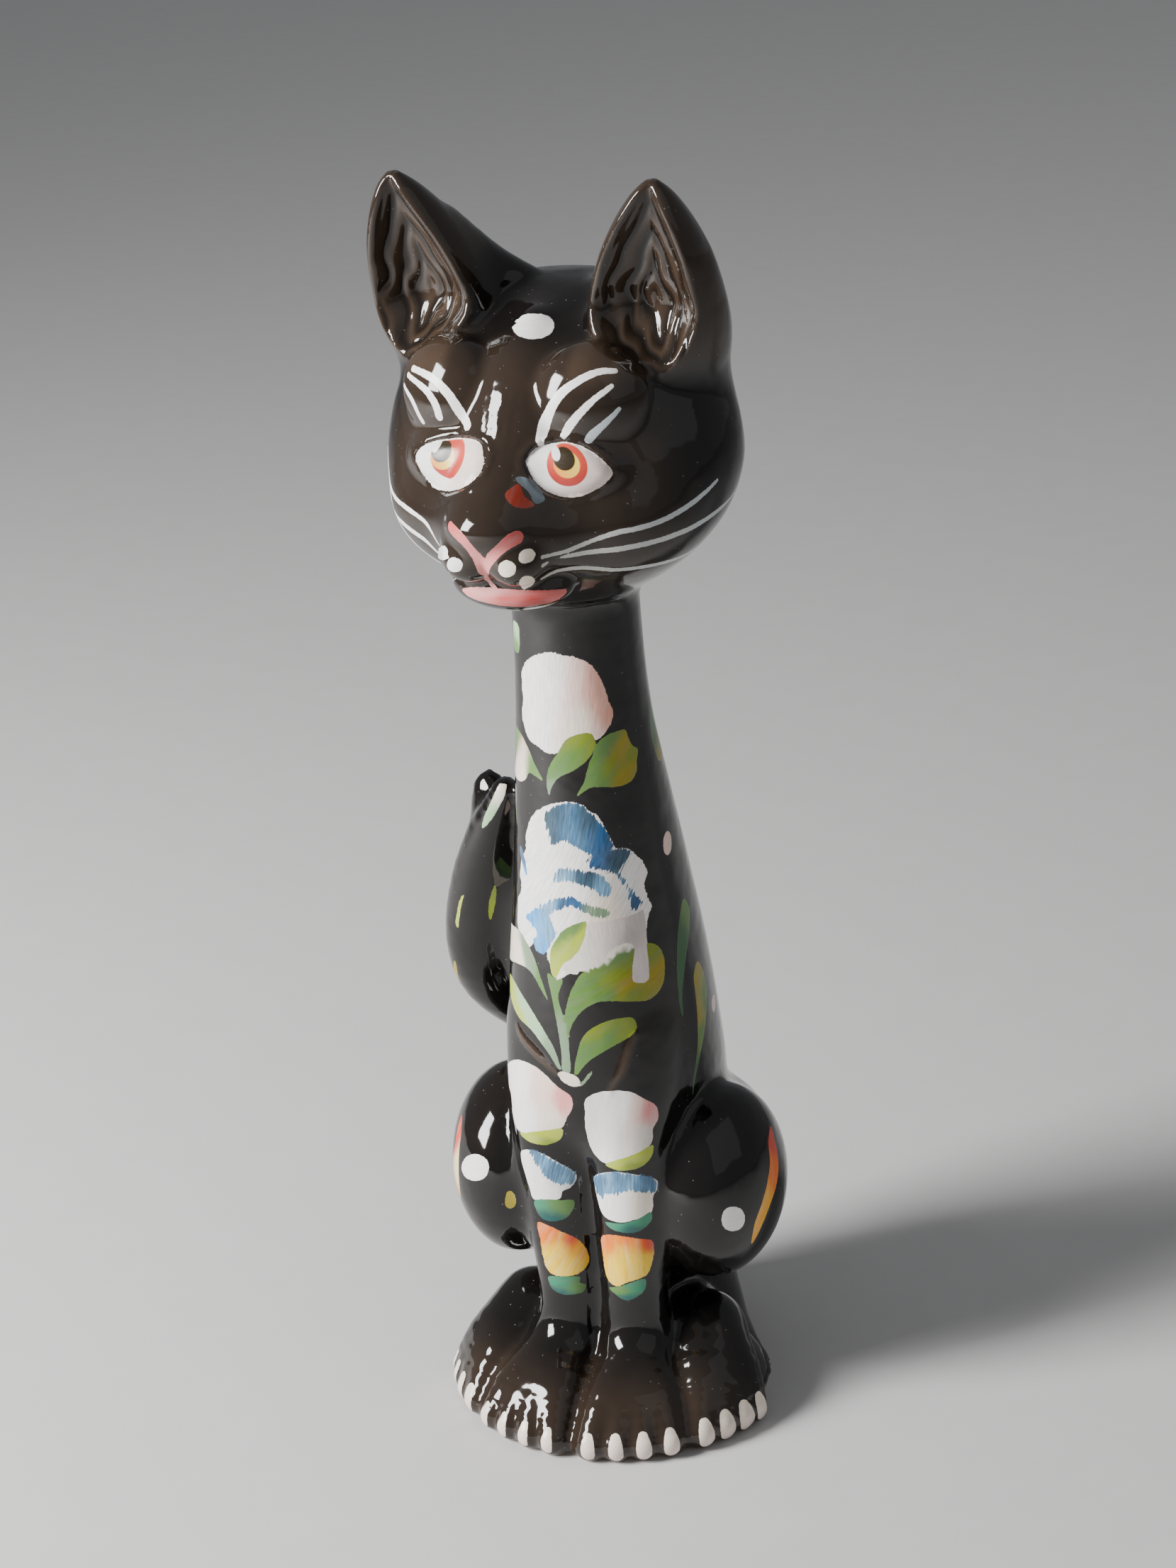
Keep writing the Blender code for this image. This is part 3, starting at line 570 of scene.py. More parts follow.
# %% Side leaves and dots
patches += (
    ("leaf side dark", 0, 80, 92, ((-1.3, 140.6), (1.1, 137.4), (0.6, 134.7), (-1.4, 131.3), (-4.2, 127.1),
     (-6.6, 122.6), (-8.8, 117.5), (-9.8, 112), (-10.4, 112.7), (-10.2, 118.1), (-9.3, 124.6),
     (-7.1, 132.1), (-4.6, 136.9)), ((-4.8, 131.1, "moss"), (-8.6, 120, "moss"), (-0.7, 137.8, "leaf"),)),
    ("leaf side ochre", 0, 80, 92, ((0.6, 122.4), (3.1, 118.6), (3.9, 114.3), (2.7, 110.6), (0.1, 105.7),
     (-3, 101.1), (-6.2, 96.4), (-8.2, 92.1), (-9.3, 88.1), (-8.8, 93.2), (-7, 97.7), (-5, 102.9),
     (-3.7, 109.3), (-3.1, 115), (-2.5, 119.9)), ((-0.3, 118.5, "ochre"), (1.8, 112.8, "leaf"),
     (-2.5, 108.7, "ochre"), (-2.1, 104.2, "leaf"), (-7.9, 93.7, "moss"),)),
    ("dot side", 0, 80, 90, ((-3.8, 159.9), (-2.5, 158.4), (-2.7, 156.3), (-3.9, 154.4), (-5.7, 154.1),
     (-6.8, 155.5), (-6.6, 157.9), (-5.5, 159.6)), ((-4.7, 157.1, "blush"),)),
    ("dot side low", 0, 95, 90, ((2.2, 109), (3.4, 107.4), (2.3, 105.7), (-0.2, 104.9), (-1.1, 106.4),
     (-0.6, 108.4)), ((0.9, 107.3, "blush"),)),
    ("leaf neck right", 0, 95, 95, ((-5.8, 193.6), (-5.4, 190), (-3.8, 185.7), (-1.8, 181.1), (-1.9, 178.2),
     (-6.7, 177.8), (-8.3, 180.8), (-9, 185.6), (-8.4, 190.1)), ((-6.4, 188.8, "moss"),
     (-5.9, 183.3, "moss"), (-5.1, 179.3, "ochre"),)),
    ("leaf neck left", 0, -50, 95, ((3.9, 217), (7.8, 217.1), (8, 213.9), (7.1, 209.9), (4.1, 209.3),
     (2.7, 211.2)), ((6, 215.1, "mint"), (5.8, 211, "leaf"),)),
)
print(len(patches), "patches so far")

# %% [markdown]
# ### Flowers down the forelegs
#
# Each foreleg carries three small flowers in green cups. The names say left and right as they appear from the
# front of the cat.

# %% Leg flowers
patches += (
    ("leg top left", 0, -25, 70, ((-9.8, 97.4), (-3.9, 101.3), (0.1, 102.2), (4.2, 102), (7.8, 100.5), (11, 98.2),
     (13.8, 96.7), (14.7, 94.7), (14.1, 92), (12.5, 89.5), (10.6, 86.1), (7.3, 84.1), (3.3, 82.8),
     (-1, 81.8), (-4.7, 82), (-6.9, 85.5), (-8.4, 91), (-20.8, 86.8)), ((-1.9, 95.1, "white"),
     (1.3, 86, "white"), (5.9, 96.5, "blush"), (11.7, 94.2, "pink"), (8.5, 88.7, "cream"),
     (7.2, 100.8, "blush"),)),
    ("leg top left cup", 1, -10, 0, ((-11.7, 81.2), (-9.3, 82.2), (-6.1, 83.5), (-1.9, 84.7), (1.9, 85.7),
     (1.5, 83.3), (0, 81.4), (-2.9, 80.1), (-5.9, 79.9), (-9.1, 80.2)), ((-7.5, 81.6, "lime"),
     (-1.1, 83, "lime"), (-2.3, 80.9, "olive"),)),
    ("leg top right", 0, 25, 80, ((-11.4, 95), (-9.9, 96.7), (-7.1, 97.8), (-3, 97.9), (0.7, 97), (3.3, 95), (6, 92.8),
     (6.9, 91), (6.9, 88.2), (5.4, 85.9), (5.1, 82.9), (3.3, 80.7), (-0.1, 79.7), (-3.8, 78.4), (-7, 76.6),
     (-9.1, 77.5), (-10.7, 80.5), (-11.7, 87.2), (-11.5, 91.8)), ((-8.8, 91.9, "white"),
     (-8, 82.5, "white"), (-1.9, 94.3, "white"), (4, 90.9, "pink"), (1.7, 92.4, "blush"),
     (-1.7, 83.1, "chalk"), (2.6, 85.2, "chalk"),)),
    ("leg top right cup", 1, 20, 10, ((-4.6, 76.3), (-1.7, 78.1), (3, 79.7), (5.8, 80.9), (8, 81.3), (7.8, 78.8),
     (6.1, 76.8), (3.7, 75.7), (-0.1, 75.2), (-2.8, 75.5)), ((-1.8, 76.8, "lime"), (5.2, 78.5, "lime"),
     (1.9, 76.4, "olive"),)),
    ("leg middle left", 0, 0, 75, ((-17.1, 75.8), (-14.1, 77.6), (-9.8, 77.3), (-6.7, 75.3), (-3.9, 72.8), (-2.5, 70.7),
     (-2.7, 68.6), (-4.1, 67), (-5.8, 66.3), (-6.6, 64.1), (-11.1, 63.5), (-14.3, 62.7), (-15.2, 65.5),
     (-16.4, 69.4), (-17.4, 72.6)), ((-15.3, 72.6, "white"), (-12.4, 66, "white"), (-7.4, 66.2, "white"),)),
    ("leg middle left blue", 1, 15, 70, ((-21.1, 77.7), (-18, 77.3), (-14.8, 75.3), (-11.7, 72.9), (-10.1, 70.7),
     (-10.4, 68.5), (-12.5, 68.2), (-15.3, 68.8), (-18, 70.8), (-19.6, 73.2), (-20.8, 75.1)),
     ((-19.5, 76, "steel"), (-15.9, 73.2, "steel"), (-11.9, 70.1, "sky"), (-18.2, 74.1, "sky"),)),
    ("leg middle left cup", 1, 10, 0, ((-19.2, 62.4), (-15, 63.8), (-11.6, 63.6), (-8.7, 63.3), (-8.8, 60.7),
     (-10.7, 58.3), (-13.1, 57.4), (-16.5, 57.2), (-18.6, 58.8)), ((-12.7, 62.3, "leaf"),
     (-17.2, 61.8, "teal"), (-15.4, 58.3, "petrol"), (-10.4, 61.6, "leaf"),)),
    ("leg middle right", 0, 5, 85, ((-0.2, 70.3), (2.6, 73.1), (6.9, 74.6), (10.7, 74.3), (14.4, 72.8), (16.7, 70.6),
     (16.4, 68.1), (15.5, 66.2), (15.3, 63), (14.1, 61), (10.6, 60.4), (7.8, 59.6), (3.7, 59.7), (1.5, 61),
     (0.5, 64.2), (-0.1, 67.5)), ((4, 63.1, "white"), (11.8, 64.9, "cream"), (8.3, 66.1, "white"),)),
    ("leg middle right blue", 1, 0, 85, ((2.4, 70.3), (5.4, 73.1), (9.8, 74.6), (13.5, 74.3), (17.1, 72.8), (19.2, 70.6),
     (18.8, 67.7), (16.1, 68.4), (13.2, 69.4), (10.3, 68.1), (6.9, 67.5), (5.2, 65.3), (3.5, 66),
     (2.5, 67.6)), ((4.4, 69.8, "steel"), (10.6, 72, "steel"), (13.3, 71.1, "sky"), (17.3, 70.2, "steel"),
     (7.4, 69.8, "sky"),)),
    ("leg middle right cup", 1, 10, 5, ((-0.3, 58.4), (2.4, 59), (4.8, 59.3), (7.7, 60.2), (10, 61.1), (11.9, 62),
     (12.2, 59.8), (10.2, 57.5), (7.5, 56.5), (3.7, 56.6), (1.2, 57.1)), ((2.8, 58.4, "teal"),
     (9.9, 59.8, "teal"), (6.6, 57.4, "petrol"),)),
    ("leg low left", 0, 15, 60, ((-21.3, 55.7), (-18.2, 55.7), (-14.9, 54.1), (-11.8, 52.1), (-9.7, 49.3),
     (-8.5, 45.4), (-8.9, 42.8), (-10.7, 41.2), (-13.1, 40.5), (-17.4, 40.3), (-19.8, 41.7), (-20.6, 45.1),
     (-21, 50.6)), ((-19, 45.7, "yellow"), (-11.9, 43.2, "yellow"), (-13.2, 51.2, "red"),
     (-18.3, 53.8, "orange"), (-15.3, 48.6, "yellow"), (-9.9, 46.6, "amber"), (-14.8, 42.4, "yellow"),)),
    ("leg low left cup", 1, 15, 0, ((-19.5, 39.5), (-15, 40.4), (-11.2, 39.9), (-11.3, 38.1), (-9.8, 37.1),
     (-10.4, 35.1), (-12.5, 34.8), (-15.4, 34.7), (-18.3, 35.5), (-19.4, 37)), ((-16.1, 37.8, "teal"),
     (-11.4, 37.1, "leaf"), (-17.3, 35.5, "petrol"),)),
    ("leg low right", 0, 5, 90, ((0.7, 52.8), (3.3, 54.9), (7.4, 55.4), (12.4, 54.3), (14.5, 52.9), (14.6, 50.1),
     (14.1, 46.8), (12.8, 43.3), (10.6, 42.2), (7.3, 41.1), (4.7, 39.5), (2, 40.3), (1, 43), (0.7, 47.9)),
     ((3.1, 52.9, "orange"), (8.3, 54.1, "orange"), (13.5, 52.3, "red"), (4.7, 45.7, "yellow"),
     (10.9, 46.1, "yellow"), (7.9, 49.1, "yellow"), (13.1, 47.3, "yellow"),)),
    ("leg low right cup", 1, 10, 0, ((-0.6, 38.1), (2.1, 39.4), (5.9, 41.2), (9.3, 41.9), (9, 38.5), (7, 36.7),
     (4.1, 35.6), (1.7, 36.5)), ((2.3, 38.3, "leaf"), (7.7, 39.4, "teal"), (4.2, 36.4, "petrol"),)),
)
print(len(patches), "patches so far")

# %% [markdown]
# ### Haunches and tail
#
# Single dabs of orange, ochre and green, and a white dot, mark the round places of the body.

# %% Haunch and tail marks
patches += (
    ("haunch dot left", 0, -25, 0, ((-23.5, 65.1), (-21.8, 68.6), (-18.1, 70.7), (-14.8, 70.4),
     (-13.4, 68.3), (-14.3, 65.4), (-17.5, 63.6), (-21.6, 63.3)), ((-17.7, 67.3, "white"),)),
    ("haunch dot right", 0, 45, 0, ((6.6, 60.8), (7.8, 63.2), (9.9, 63.4), (12.3, 61.9), (13.2, 58.9),
     (12.1, 56.5), (9.6, 56.2), (7.2, 57.9)), ((9.7, 60.1, "white"),)),
    ("haunch ochre", 0, 10, 90, ((-27.7, 61.5), (-26.4, 62.3), (-25.3, 60.7), (-25.5, 58.1), (-27, 56.9),
     (-28.2, 58)), ((-26.7, 59.8, "ochre"),)),
    ("haunch leaf right", 0, 75, 70, ((7.7, 76.5), (6.5, 73), (5.1, 67.8), (2.6, 63.4), (-1.5, 58.8),
     (-4.6, 53.9), (-7.2, 49.4), (-7.4, 55.7), (-5, 60.5), (-1.9, 65.3), (1.1, 69.9), (3.4, 74.5)),
     ((5.4, 73.6, "red"), (2.2, 67.3, "orange"), (-3.3, 59.8, "amber"), (-6.5, 52.6, "amber"),)),
    ("haunch stroke left", 0, -55, 90, ((-9.6, 76.3), (-9.2, 73), (-8.1, 68.5), (-9.5, 60.4), (-5, 54.1),
     (-6.6, 50.9), (-3.6, 57), (-3.2, 63.7), (-4.2, 69.4), (-5.8, 73.6)), ((-8.1, 71.6, "red"),
     (-4.9, 62.8, "butter"), (-5, 54.1, "amber"),)),
    ("tail tip leaf", 0, -5, 70, ((-24, 169.4), (-22.5, 168.8), (-22.6, 166), (-24.8, 162.2),
     (-27.5, 158.2), (-30.2, 155.8), (-29.1, 159.5), (-26.5, 164.3), (-24.4, 168.3)),
     ((-23.4, 167.7, "cream"), (-27.7, 159.8, "mint"),)),
    ("tail stroke 1", 0, -20, 80, ((-34.9, 135.2), (-36.1, 132.3), (-37.3, 127.9), (-38.3, 124.6),
     (-38.9, 126.1), (-37.9, 129.8), (-36.5, 133.6)), ((-36.9, 130.1, "lime"),)),
    ("tail stroke 2", 0, 20, 80, ((-29.3, 138.4), (-29.2, 135.3), (-30.1, 131), (-31.4, 127.5),
     (-31.7, 130.5), (-30.8, 134.8)), ((-30.3, 133.2, "olive"),)),
    ("tail stroke 3", 0, -40, 90, ((-34.4, 113.5), (-35.5, 109.7), (-38.3, 104.7), (-38.3, 106.1),
     (-37.8, 109.6)), ((-39, 108.1, "ochre"),)),
    ("tail stroke 4", 0, -45, 90, ((-35, 104.6), (-36.6, 101.4), (-34.8, 99.7), (-36.4, 100.5),
     (-35.8, 103.3)), ((-36.6, 101.4, "ochre"),)),
)
print(len(patches), "patches so far")

# %% [markdown]
# ### Eyes and muzzle
#
# The white of an eye is a patch with the same outline as its lids. The iris comes later, in the glaze, because
# it is round and can be drawn exactly from its middle.

# %% Eyes, dots and lip
patches += (
    ("eye right", 0, 25, 0, ((-14.1, 266.8), (-11.8, 268.9), (-8.2, 269.8), (-4.5, 270.2), (-1, 269.3),
     (2.4, 267.1), (5.3, 263.7), (4.2, 261.5), (1.1, 259.4), (-2.7, 258), (-6.4, 258.1), (-10, 259.7),
     (-12.7, 262.4), (-13.9, 265.1)), ((-9.7, 262.7, "white"), (-11.6, 265.6, "white"),
     (0.6, 263.4, "shell"), (-4, 259.6, "shell"), (2.8, 263.6, "shell"),)),
    ("eye left", 0, -30, 0, ((-5.9, 264.5), (-3.3, 267), (0.8, 268.7), (6.5, 269.7), (12.7, 270.2),
     (16.3, 268.1), (18.1, 265.2), (17, 262.3), (11.4, 259.6), (1.7, 257.2), (-2.9, 259.3), (-5.1, 262.2)),
     ((0.2, 261.7, "white"), (13.4, 262.8, "shell"), (13.9, 267.5, "shell"), (-2, 265.2, "white"),)),
    ("dot forehead", 0, 5, 0, ((-6.9, 293.1), (-6.2, 294.4), (-3.8, 295.4), (-1.1, 295.6), (1.5, 294.7),
     (3.2, 293.2), (3, 291.8), (1, 291.1), (-1.8, 291.2), (-4.8, 291.9)), ((-1.3, 293.4, "white"),)),
    ("smudge red", 2, 35, 60, ((-27.5, 260.6), (-25.5, 261.8), (-23.7, 262.3), (-23, 259.7), (-20.9, 257.6),
     (-23.4, 257.3), (-25.7, 257.9), (-27, 259)), ((-23.9, 259.1, "rust"),)),
    ("smudge grey", 1, 40, 60, ((-27.6, 263.6), (-25.4, 263.4), (-23.2, 262.2), (-22.4, 260.2),
     (-22, 258.2), (-24.5, 257.8), (-25.4, 260.4), (-27, 262.1)), ((-24.5, 261.2, "grey"),)),
    ("dot whisker 1", 0, 40, 0, ((-30.5, 246.6), (-29.6, 248), (-27.6, 248.3), (-26.4, 247.3),
     (-26.7, 245.9), (-28.5, 245.2), (-30.1, 245.5)), ((-28.6, 246.8, "cream"),)),
    ("dot whisker 2", 0, 5, 0, ((-4.6, 244), (-3.9, 245.6), (-2.3, 246.3), (-0.8, 245.6), (-0.2, 244.3),
     (-1, 242.7), (-2.8, 242), (-4.2, 242.6)), ((-2.3, 244.2, "cream"),)),
    ("dot whisker 3", 0, 35, 0, ((-26.6, 240), (-26.2, 241.8), (-24.7, 242.1), (-23.1, 240.9),
     (-22.3, 238.5), (-23.4, 237.5), (-24.9, 237.2)), ((-24.9, 240.2, "cream"),)),
    ("dot whisker 4", 0, -40, 0, ((6.1, 240.8), (10.2, 243.5), (19.5, 247.1), (22.4, 247.2), (23.1, 246),
     (22.2, 244.6), (3.7, 238.1)), ((20.1, 245.6, "white"),)),
    ("dot whisker 5", 0, -15, 0, ((0.3, 243.5), (1.2, 245.1), (3, 245.8), (4.7, 245.3), (5.1, 244.1),
     (3.9, 242.5), (1.9, 242.1), (0.6, 242.4)), ((3, 244.1, "white"),)),
    ("dot whisker 6", 0, -50, 0, ((30.3, 240.5), (29.3, 241.1), (29.4, 241.4), (30.7, 240.7), (20.6, 235.8),
     (21.1, 235.6), (20.1, 235.9)), ((30.9, 240.4, "cream"),)),
    ("lip", 0, 0, 0, ((-13.5, 235.2), (-9, 236.6), (-3, 237), (4, 236.7), (9.5, 236.2), (12.5, 235.4),
     (11.5, 233.9), (8.5, 232.9), (3, 232.2), (-2, 232.3), (-8, 232.8), (-12, 233.6)),
     ((-11, 234.9, "pink"), (-0.4, 234.8, "coral"), (10.5, 234.5, "coral"), (5, 232.9, "brick"),
     (-5, 236.3, "pink"))),
)
print(len(patches), "patches so far")

# %% [markdown]
# ### Brows, nose and whiskers
#
# These are lines of a thin brush, so each is a soft line with a half-width at every station instead of an
# outline. The brush was lifted at the end, which narrows them.

# %% Brows: name, layer, stations of x, y, z and half-width, colours from start to end
strokes = (
    ("brow right 1", 0, ((6.8, -39.5, 270.4, 0.97), (7.5, -38.2, 273.7, 1.27), (8.9, -38.1, 276.8, 1.19),
     (12.1, -38.2, 281.4, 0.97), (16.6, -36.9, 284.6, 0.78), (20.6, -34.9, 286.1, 0.67),
     (24, -33, 285.9, 0.48)), ("white",)),
    ("brow right 2", 0, ((12.3, -38.2, 271.5, 0.75), (14, -38.7, 274.1, 0.89), (16.1, -38.9, 276.5, 0.82),
     (19.7, -37.8, 280, 0.63), (23.7, -35.2, 282.9, 0.45)), ("white",)),
    ("brow right 3", 0, ((17.9, -37.8, 270.3, 0.75), (19, -37.5, 271.8, 0.97), (20.8, -37.4, 273.4, 0.82),
     (23.8, -36.4, 276.1, 0.52), (25.3, -35.4, 277.7, 0.34)), ("mist",)),
    ("brow left 1", 0, ((-28.1, -29.8, 284.1, 0.61), (-21.6, -33.9, 283.1, 0.83),
     (-17.1, -35.7, 279.9, 0.98), (-14.2, -35.8, 275.4, 1.13), (-12.2, -37, 272.8, 1.13)), ("white",)),
    ("brow left 2", 0, ((-29.7, -29.2, 282.3, 0.53), (-23.9, -33.9, 280.6, 0.68),
     (-20.7, -35.5, 277.4, 0.87), (-19.9, -35.5, 274.1, 0.87)), ("white",)),
    ("brow left 3", 0, ((-31.5, -28.2, 279.5, 0.4), (-27.9, -32.1, 276.9, 0.64),
     (-25.4, -32.9, 272.1, 0.64)), ("white",)),
)

# %% Nose
strokes += (
    ("nose arm left", 1, ((-11.7, -53, 253.3, 1.07), (-9.3, -54.9, 252.1, 1.37), (-7.1, -55.4, 250.2, 1.44),
     (-5.1, -53.4, 246, 1.30), (-4.7, -51.6, 242.3, 1.22)), ("coral", "pink")),
    ("nose arm right", 1, ((4.8, -53, 251.4, 1.51), (3.5, -54, 250.8, 1.58), (1.2, -54.6, 249.1, 1.21),
     (-1.6, -54.2, 246.4, 1.07), (-4.6, -51.5, 242.2, 0.92)), ("coral", "pink")),
    ("nose stem", 1, ((-4.5, -51.9, 242.9, 0.6), (-5.4, -48.5, 239.1, 0.49), (-3.6, -48.1, 236.7, 0.38)),
     ("pink",)),
)

# %% Whiskers
strokes += (
    ("whisker right 1", 1, ((9.2, -49.4, 245.7, 0.33), (13.7, -45, 246, 0.41), (23.3, -40.4, 249.1, 0.49),
     (28.8, -37.5, 249.8, 0.49), (34.1, -33, 250.9, 0.5), (39.2, -26.6, 253.4, 0.5),
     (42.9, -20.3, 256.8, 0.25)), ("ash", "mist")),
    ("whisker right 2", 1, ((9.1, -49.3, 243.6, 0.33), (15.3, -43.3, 244.7, 0.49), (22.4, -40.1, 245, 0.58),
     (28.5, -37, 245.5, 0.58), (34.4, -31.8, 246.2, 0.58), (38.3, -26.6, 247, 0.58),
     (42.3, -18.3, 249, 0.5), (43.8, -8.9, 251.7, 0.25)), ("ash", "mist")),
    ("whisker right 3", 1, ((7.5, -46.2, 239.3, 0.41), (10.1, -43.5, 240.3, 0.58),
     (15.3, -40.7, 240.5, 0.58), (21.5, -37.2, 239.2, 0.58), (27.5, -33.2, 238.8, 0.58),
     (31.7, -28.3, 238.6, 0.58), (35.9, -19.3, 239.2, 0.59), (38.7, -14.9, 241.9, 0.51),
     (41.2, -12.8, 245.5, 0.25)), ("ash", "mist")),
    ("whisker left 1", 1, ((-20, -41.8, 244.9, 0.39), (-23.4, -39.4, 248.4, 0.50),
     (-30.2, -34.6, 250.6, 0.51), (-37.6, -27, 251.9, 0.51), (-41, -20.8, 254.7, 0.51),
     (-42.5, -16.7, 260.4, 0.36)), ("white",)),
    ("whisker left 2", 1, ((-22.7, -36.3, 240.6, 0.55), (-26.1, -36, 243.7, 0.67),
     (-32.6, -32.1, 245.7, 0.67), (-38.4, -25.3, 247.2, 0.67), (-39.5, -24.1, 251, 0.67),
     (-40.6, -21.7, 254.2, 0.56)), ("white",)),
    ("whisker left 3", 1, ((-25.7, -30, 236.3, 0.71), (-30.1, -29.6, 238.9, 0.83),
     (-33.9, -28.6, 242.1, 0.83), (-37.2, -26.7, 245.9, 0.75)), ("white",)),
)
print(len(strokes), "strokes so far")

# %% [markdown]
# ### The other side, and the claws
#
# The picture doesn't show the whole of the cat's right side, so its thin leaves repeat the ones on the left. A
# claw is a short stroke down the end of each toe, and no two are quite the same size.

# %% Leaves of the other side
for name, layer, azimuth, brush, corners, drops in patches[:]:
    if name in ("leaf side dark", "leaf side ochre", "dot side", "leaf neck right"):
        patches += ((name + " again", layer, -azimuth, -brush, tuple((-u, z) for u, z in corners),
                     tuple((-u, z, tint) for u, z, tint in drops)),)

# %% Claws
for side in (-1, 1):
    for angle in fore_toes + hind_toes:
        out = np.array([side * sin(radians(angle)), -cos(radians(angle)), 0.0])
        grown = 0.9 + 0.25 * sin(7.0 * angle + side)
        claw = [(*(out * reach + [0.0, fan_y, height]), half * grown) for reach, height, half in
                ((fan_radius + 2.8, 8.0, 1.3), (fan_radius + 4.2, 5.8, 2.1), (fan_radius + 4.4, 3.3, 2.1))]
        strokes += (("claw", 0, tuple(claw), ("cream", "shell")),)
print(len(patches), "patches and", len(strokes), "strokes")

# %% [markdown]
# ## From marks to the skin
#
# Every point of the skin gets, for each layer, its distance from the nearest mark, the colour there, and its
# place along and across the brush. The distance could be painted into a picture instead, but then the edge would
# only be as fine as the picture. A mark seen from one side would smear where the skin turns away from that side,
# so it narrows and stops there.

# %% How marks end and how ragged they are
layer_count = 3
clear = 9.0             # distance given to a point that no mark comes near
stroke_swell = 0.14     # the grid rounds off the middle of a thin line, which narrows it by this much
hidden, last_seen, scallop = 0.12, 0.30, 0.12    # shares of facing at which a patch is skipped and stops
taper_from, taper_rate, cut_rate = 0.42, 26.0, 14.0
ragged = {"blue dome": 0.8, "blue band right": 1.0, "blue band second": 1.0, "blue band third": 1.0,
          "blue petal left": 0.6, "blue low": 0.6, "leg middle left blue": 1.0, "leg middle right blue": 1.0,
          "blue ground": 0.25, "rose": 0.25, "leg low left": 0.15, "leg low right": 0.15, "leaf big": 0.1,
          "patch": 0.1}
print(len(ragged), "ragged marks")

# %% How far a point lies from each layer of enamel
def mix_drops(places, drops, brush):
    """Colours at flat places, run together along the brush from the drops."""
    along = np.array([cos(radians(brush)), sin(radians(brush))])
    across = np.array([-along[1], along[0]])
    share, total = np.zeros((len(places), 1)), np.zeros((len(places), 3))
    for u, z, name in drops:
        gap = places - [u, z]
        weight = (((gap @ along) * 0.5) ** 2 + (gap @ across) ** 2 + 0.8)[:, None] ** -2.0
        share, total = share + weight, total + weight * palette[name]
    return total / share


def lay_enamel(points, normals):
    """Distance outside the enamel, colour, and place along and across the brush, for each layer."""
    layers = [(np.full(len(points), clear), np.full((len(points), 3), 0.5), np.zeros((len(points), 3)))
              for _ in range(layer_count)]

    def lay(layer, near, gap, colour, brush_place):
        edge, tint, brush = layers[layer]
        closer = gap < edge[near]
        spot = np.where(near)[0][closer]
        edge[spot], tint[spot], brush[spot] = gap[closer], colour[closer], brush_place[closer]

    on_tail = (limb(points, tail_path[2:]) < 1.5) | ((points[:, 0] < -8) & (points[:, 1] > -3) & (points[:, 2] > 95))
    for name, layer, azimuth, brush, corners, drops in patches:
        places, ring = seen_from(points, azimuth), closed_path(corners)
        facing = normals[:, 0] * sin(radians(azimuth)) - normals[:, 1] * cos(radians(azimuth))
        near = (facing > hidden) & (on_tail == name.startswith("tail"))
        near &= np.all((places > ring.min(0) - 3) & (places < ring.max(0) + 3), axis=1)
        flat, angle = places[near], radians(brush)
        turn = np.array([[cos(angle), -sin(angle)], [sin(angle), cos(angle)]])
        rough = ragged.get(name, 0.0)
        place = np.column_stack([flat @ turn, np.full(len(flat), rough)])
        turned_away = cut_rate * (last_seen + scallop * np.sin(0.35 * flat[:, 1]) - facing[near])
        taper = taper_rate * np.clip(taper_from - facing[near], 0.0, None)
        gap = np.maximum(outside(flat, ring) + taper, turned_away)
        lay(layer, near, gap, mix_drops(flat, drops, brush), place)
    for name, layer, stations, tints in strokes:
        reach = limb(points, stations, 5)
        reach, near = reach - stroke_swell, reach < 3.0
        rows = np.array(stations)[:, :3]
        t = np.clip(((points[near] - rows[0]) @ (rows[-1] - rows[0])) / ((rows[-1] - rows[0]) ** 2).sum(), 0, 1)
        tint = np.outer(1 - t, palette[tints[0]]) + np.outer(t, palette[tints[-1]])
        length = t * np.linalg.norm(rows[-1] - rows[0])
        lay(layer, near, reach[near], tint, np.column_stack([length, 1.5 * reach[near], 0 * t]))
    return layers



print("enamel is laid in", layer_count, "layers")

# %% [markdown]
# ## Halve the grid where it matters
#
# The face, the ears, the paws and the painted front need a finer grid than the back, and the edges of the
# brush marks need the finest one. Every round cuts only the chosen edges and pulls the points back onto the form.

# %% Halve and pull
def write(points):
    for vertex, point in zip(grid.verts, points):
        vertex.co = point
    grid.normal_update()
    return np.array([v.normal[:] for v in grid.verts])


def halve(points, chosen, rounds=1):
    """Cuts the edges whose two ends are chosen, then evens the grid out and pulls it onto the full form."""
    edges = [edge for edge in grid.edges if chosen[edge.verts[0].index] and chosen[edge.verts[1].index]]
    bmesh.ops.subdivide_edges(grid, edges=edges, cuts=1, use_grid_fill=True)
    bmesh.ops.triangulate(grid, faces=grid.faces)
    grid.verts.index_update()
    points = np.array([v.co[:] for v in grid.verts])
    ends = np.array([[v.index for v in edge.verts] for edge in grid.edges])
    for _ in range(rounds):
        points = pull(full_form, relax(points, ends, 0.3))
    print("halved:", len(points), "points")
    return points


def nearest_edge(layers):
    """Distance of each point from the nearest edge of any layer."""
    return np.min([np.abs(edge) for edge, tint, brush in layers], axis=0)


# %% First halving
mark_room, edge_room = 2.0, 0.55     # how close to the edge of a mark the grid is halved, and halved again
normals = write(skin_points)
layers = lay_enamel(skin_points, normals)
x, y, z = skin_points.T
q = head_points(skin_points)
face = (z > 228.0) & (q[:, 1] < -15.0)
ears = (z > 279.0) & (np.abs(q[:, 0]) > 9.0)
paws = (z < 22.0) & (y < 6.0)
ridges = np.min([limb(skin_points, ridge) for ridge in leg_ridges], axis=0) < 2.0
chosen = face | ears | paws | ridges | (nearest_edge(layers) < mark_room)
skin_points = halve(skin_points, chosen, 2)

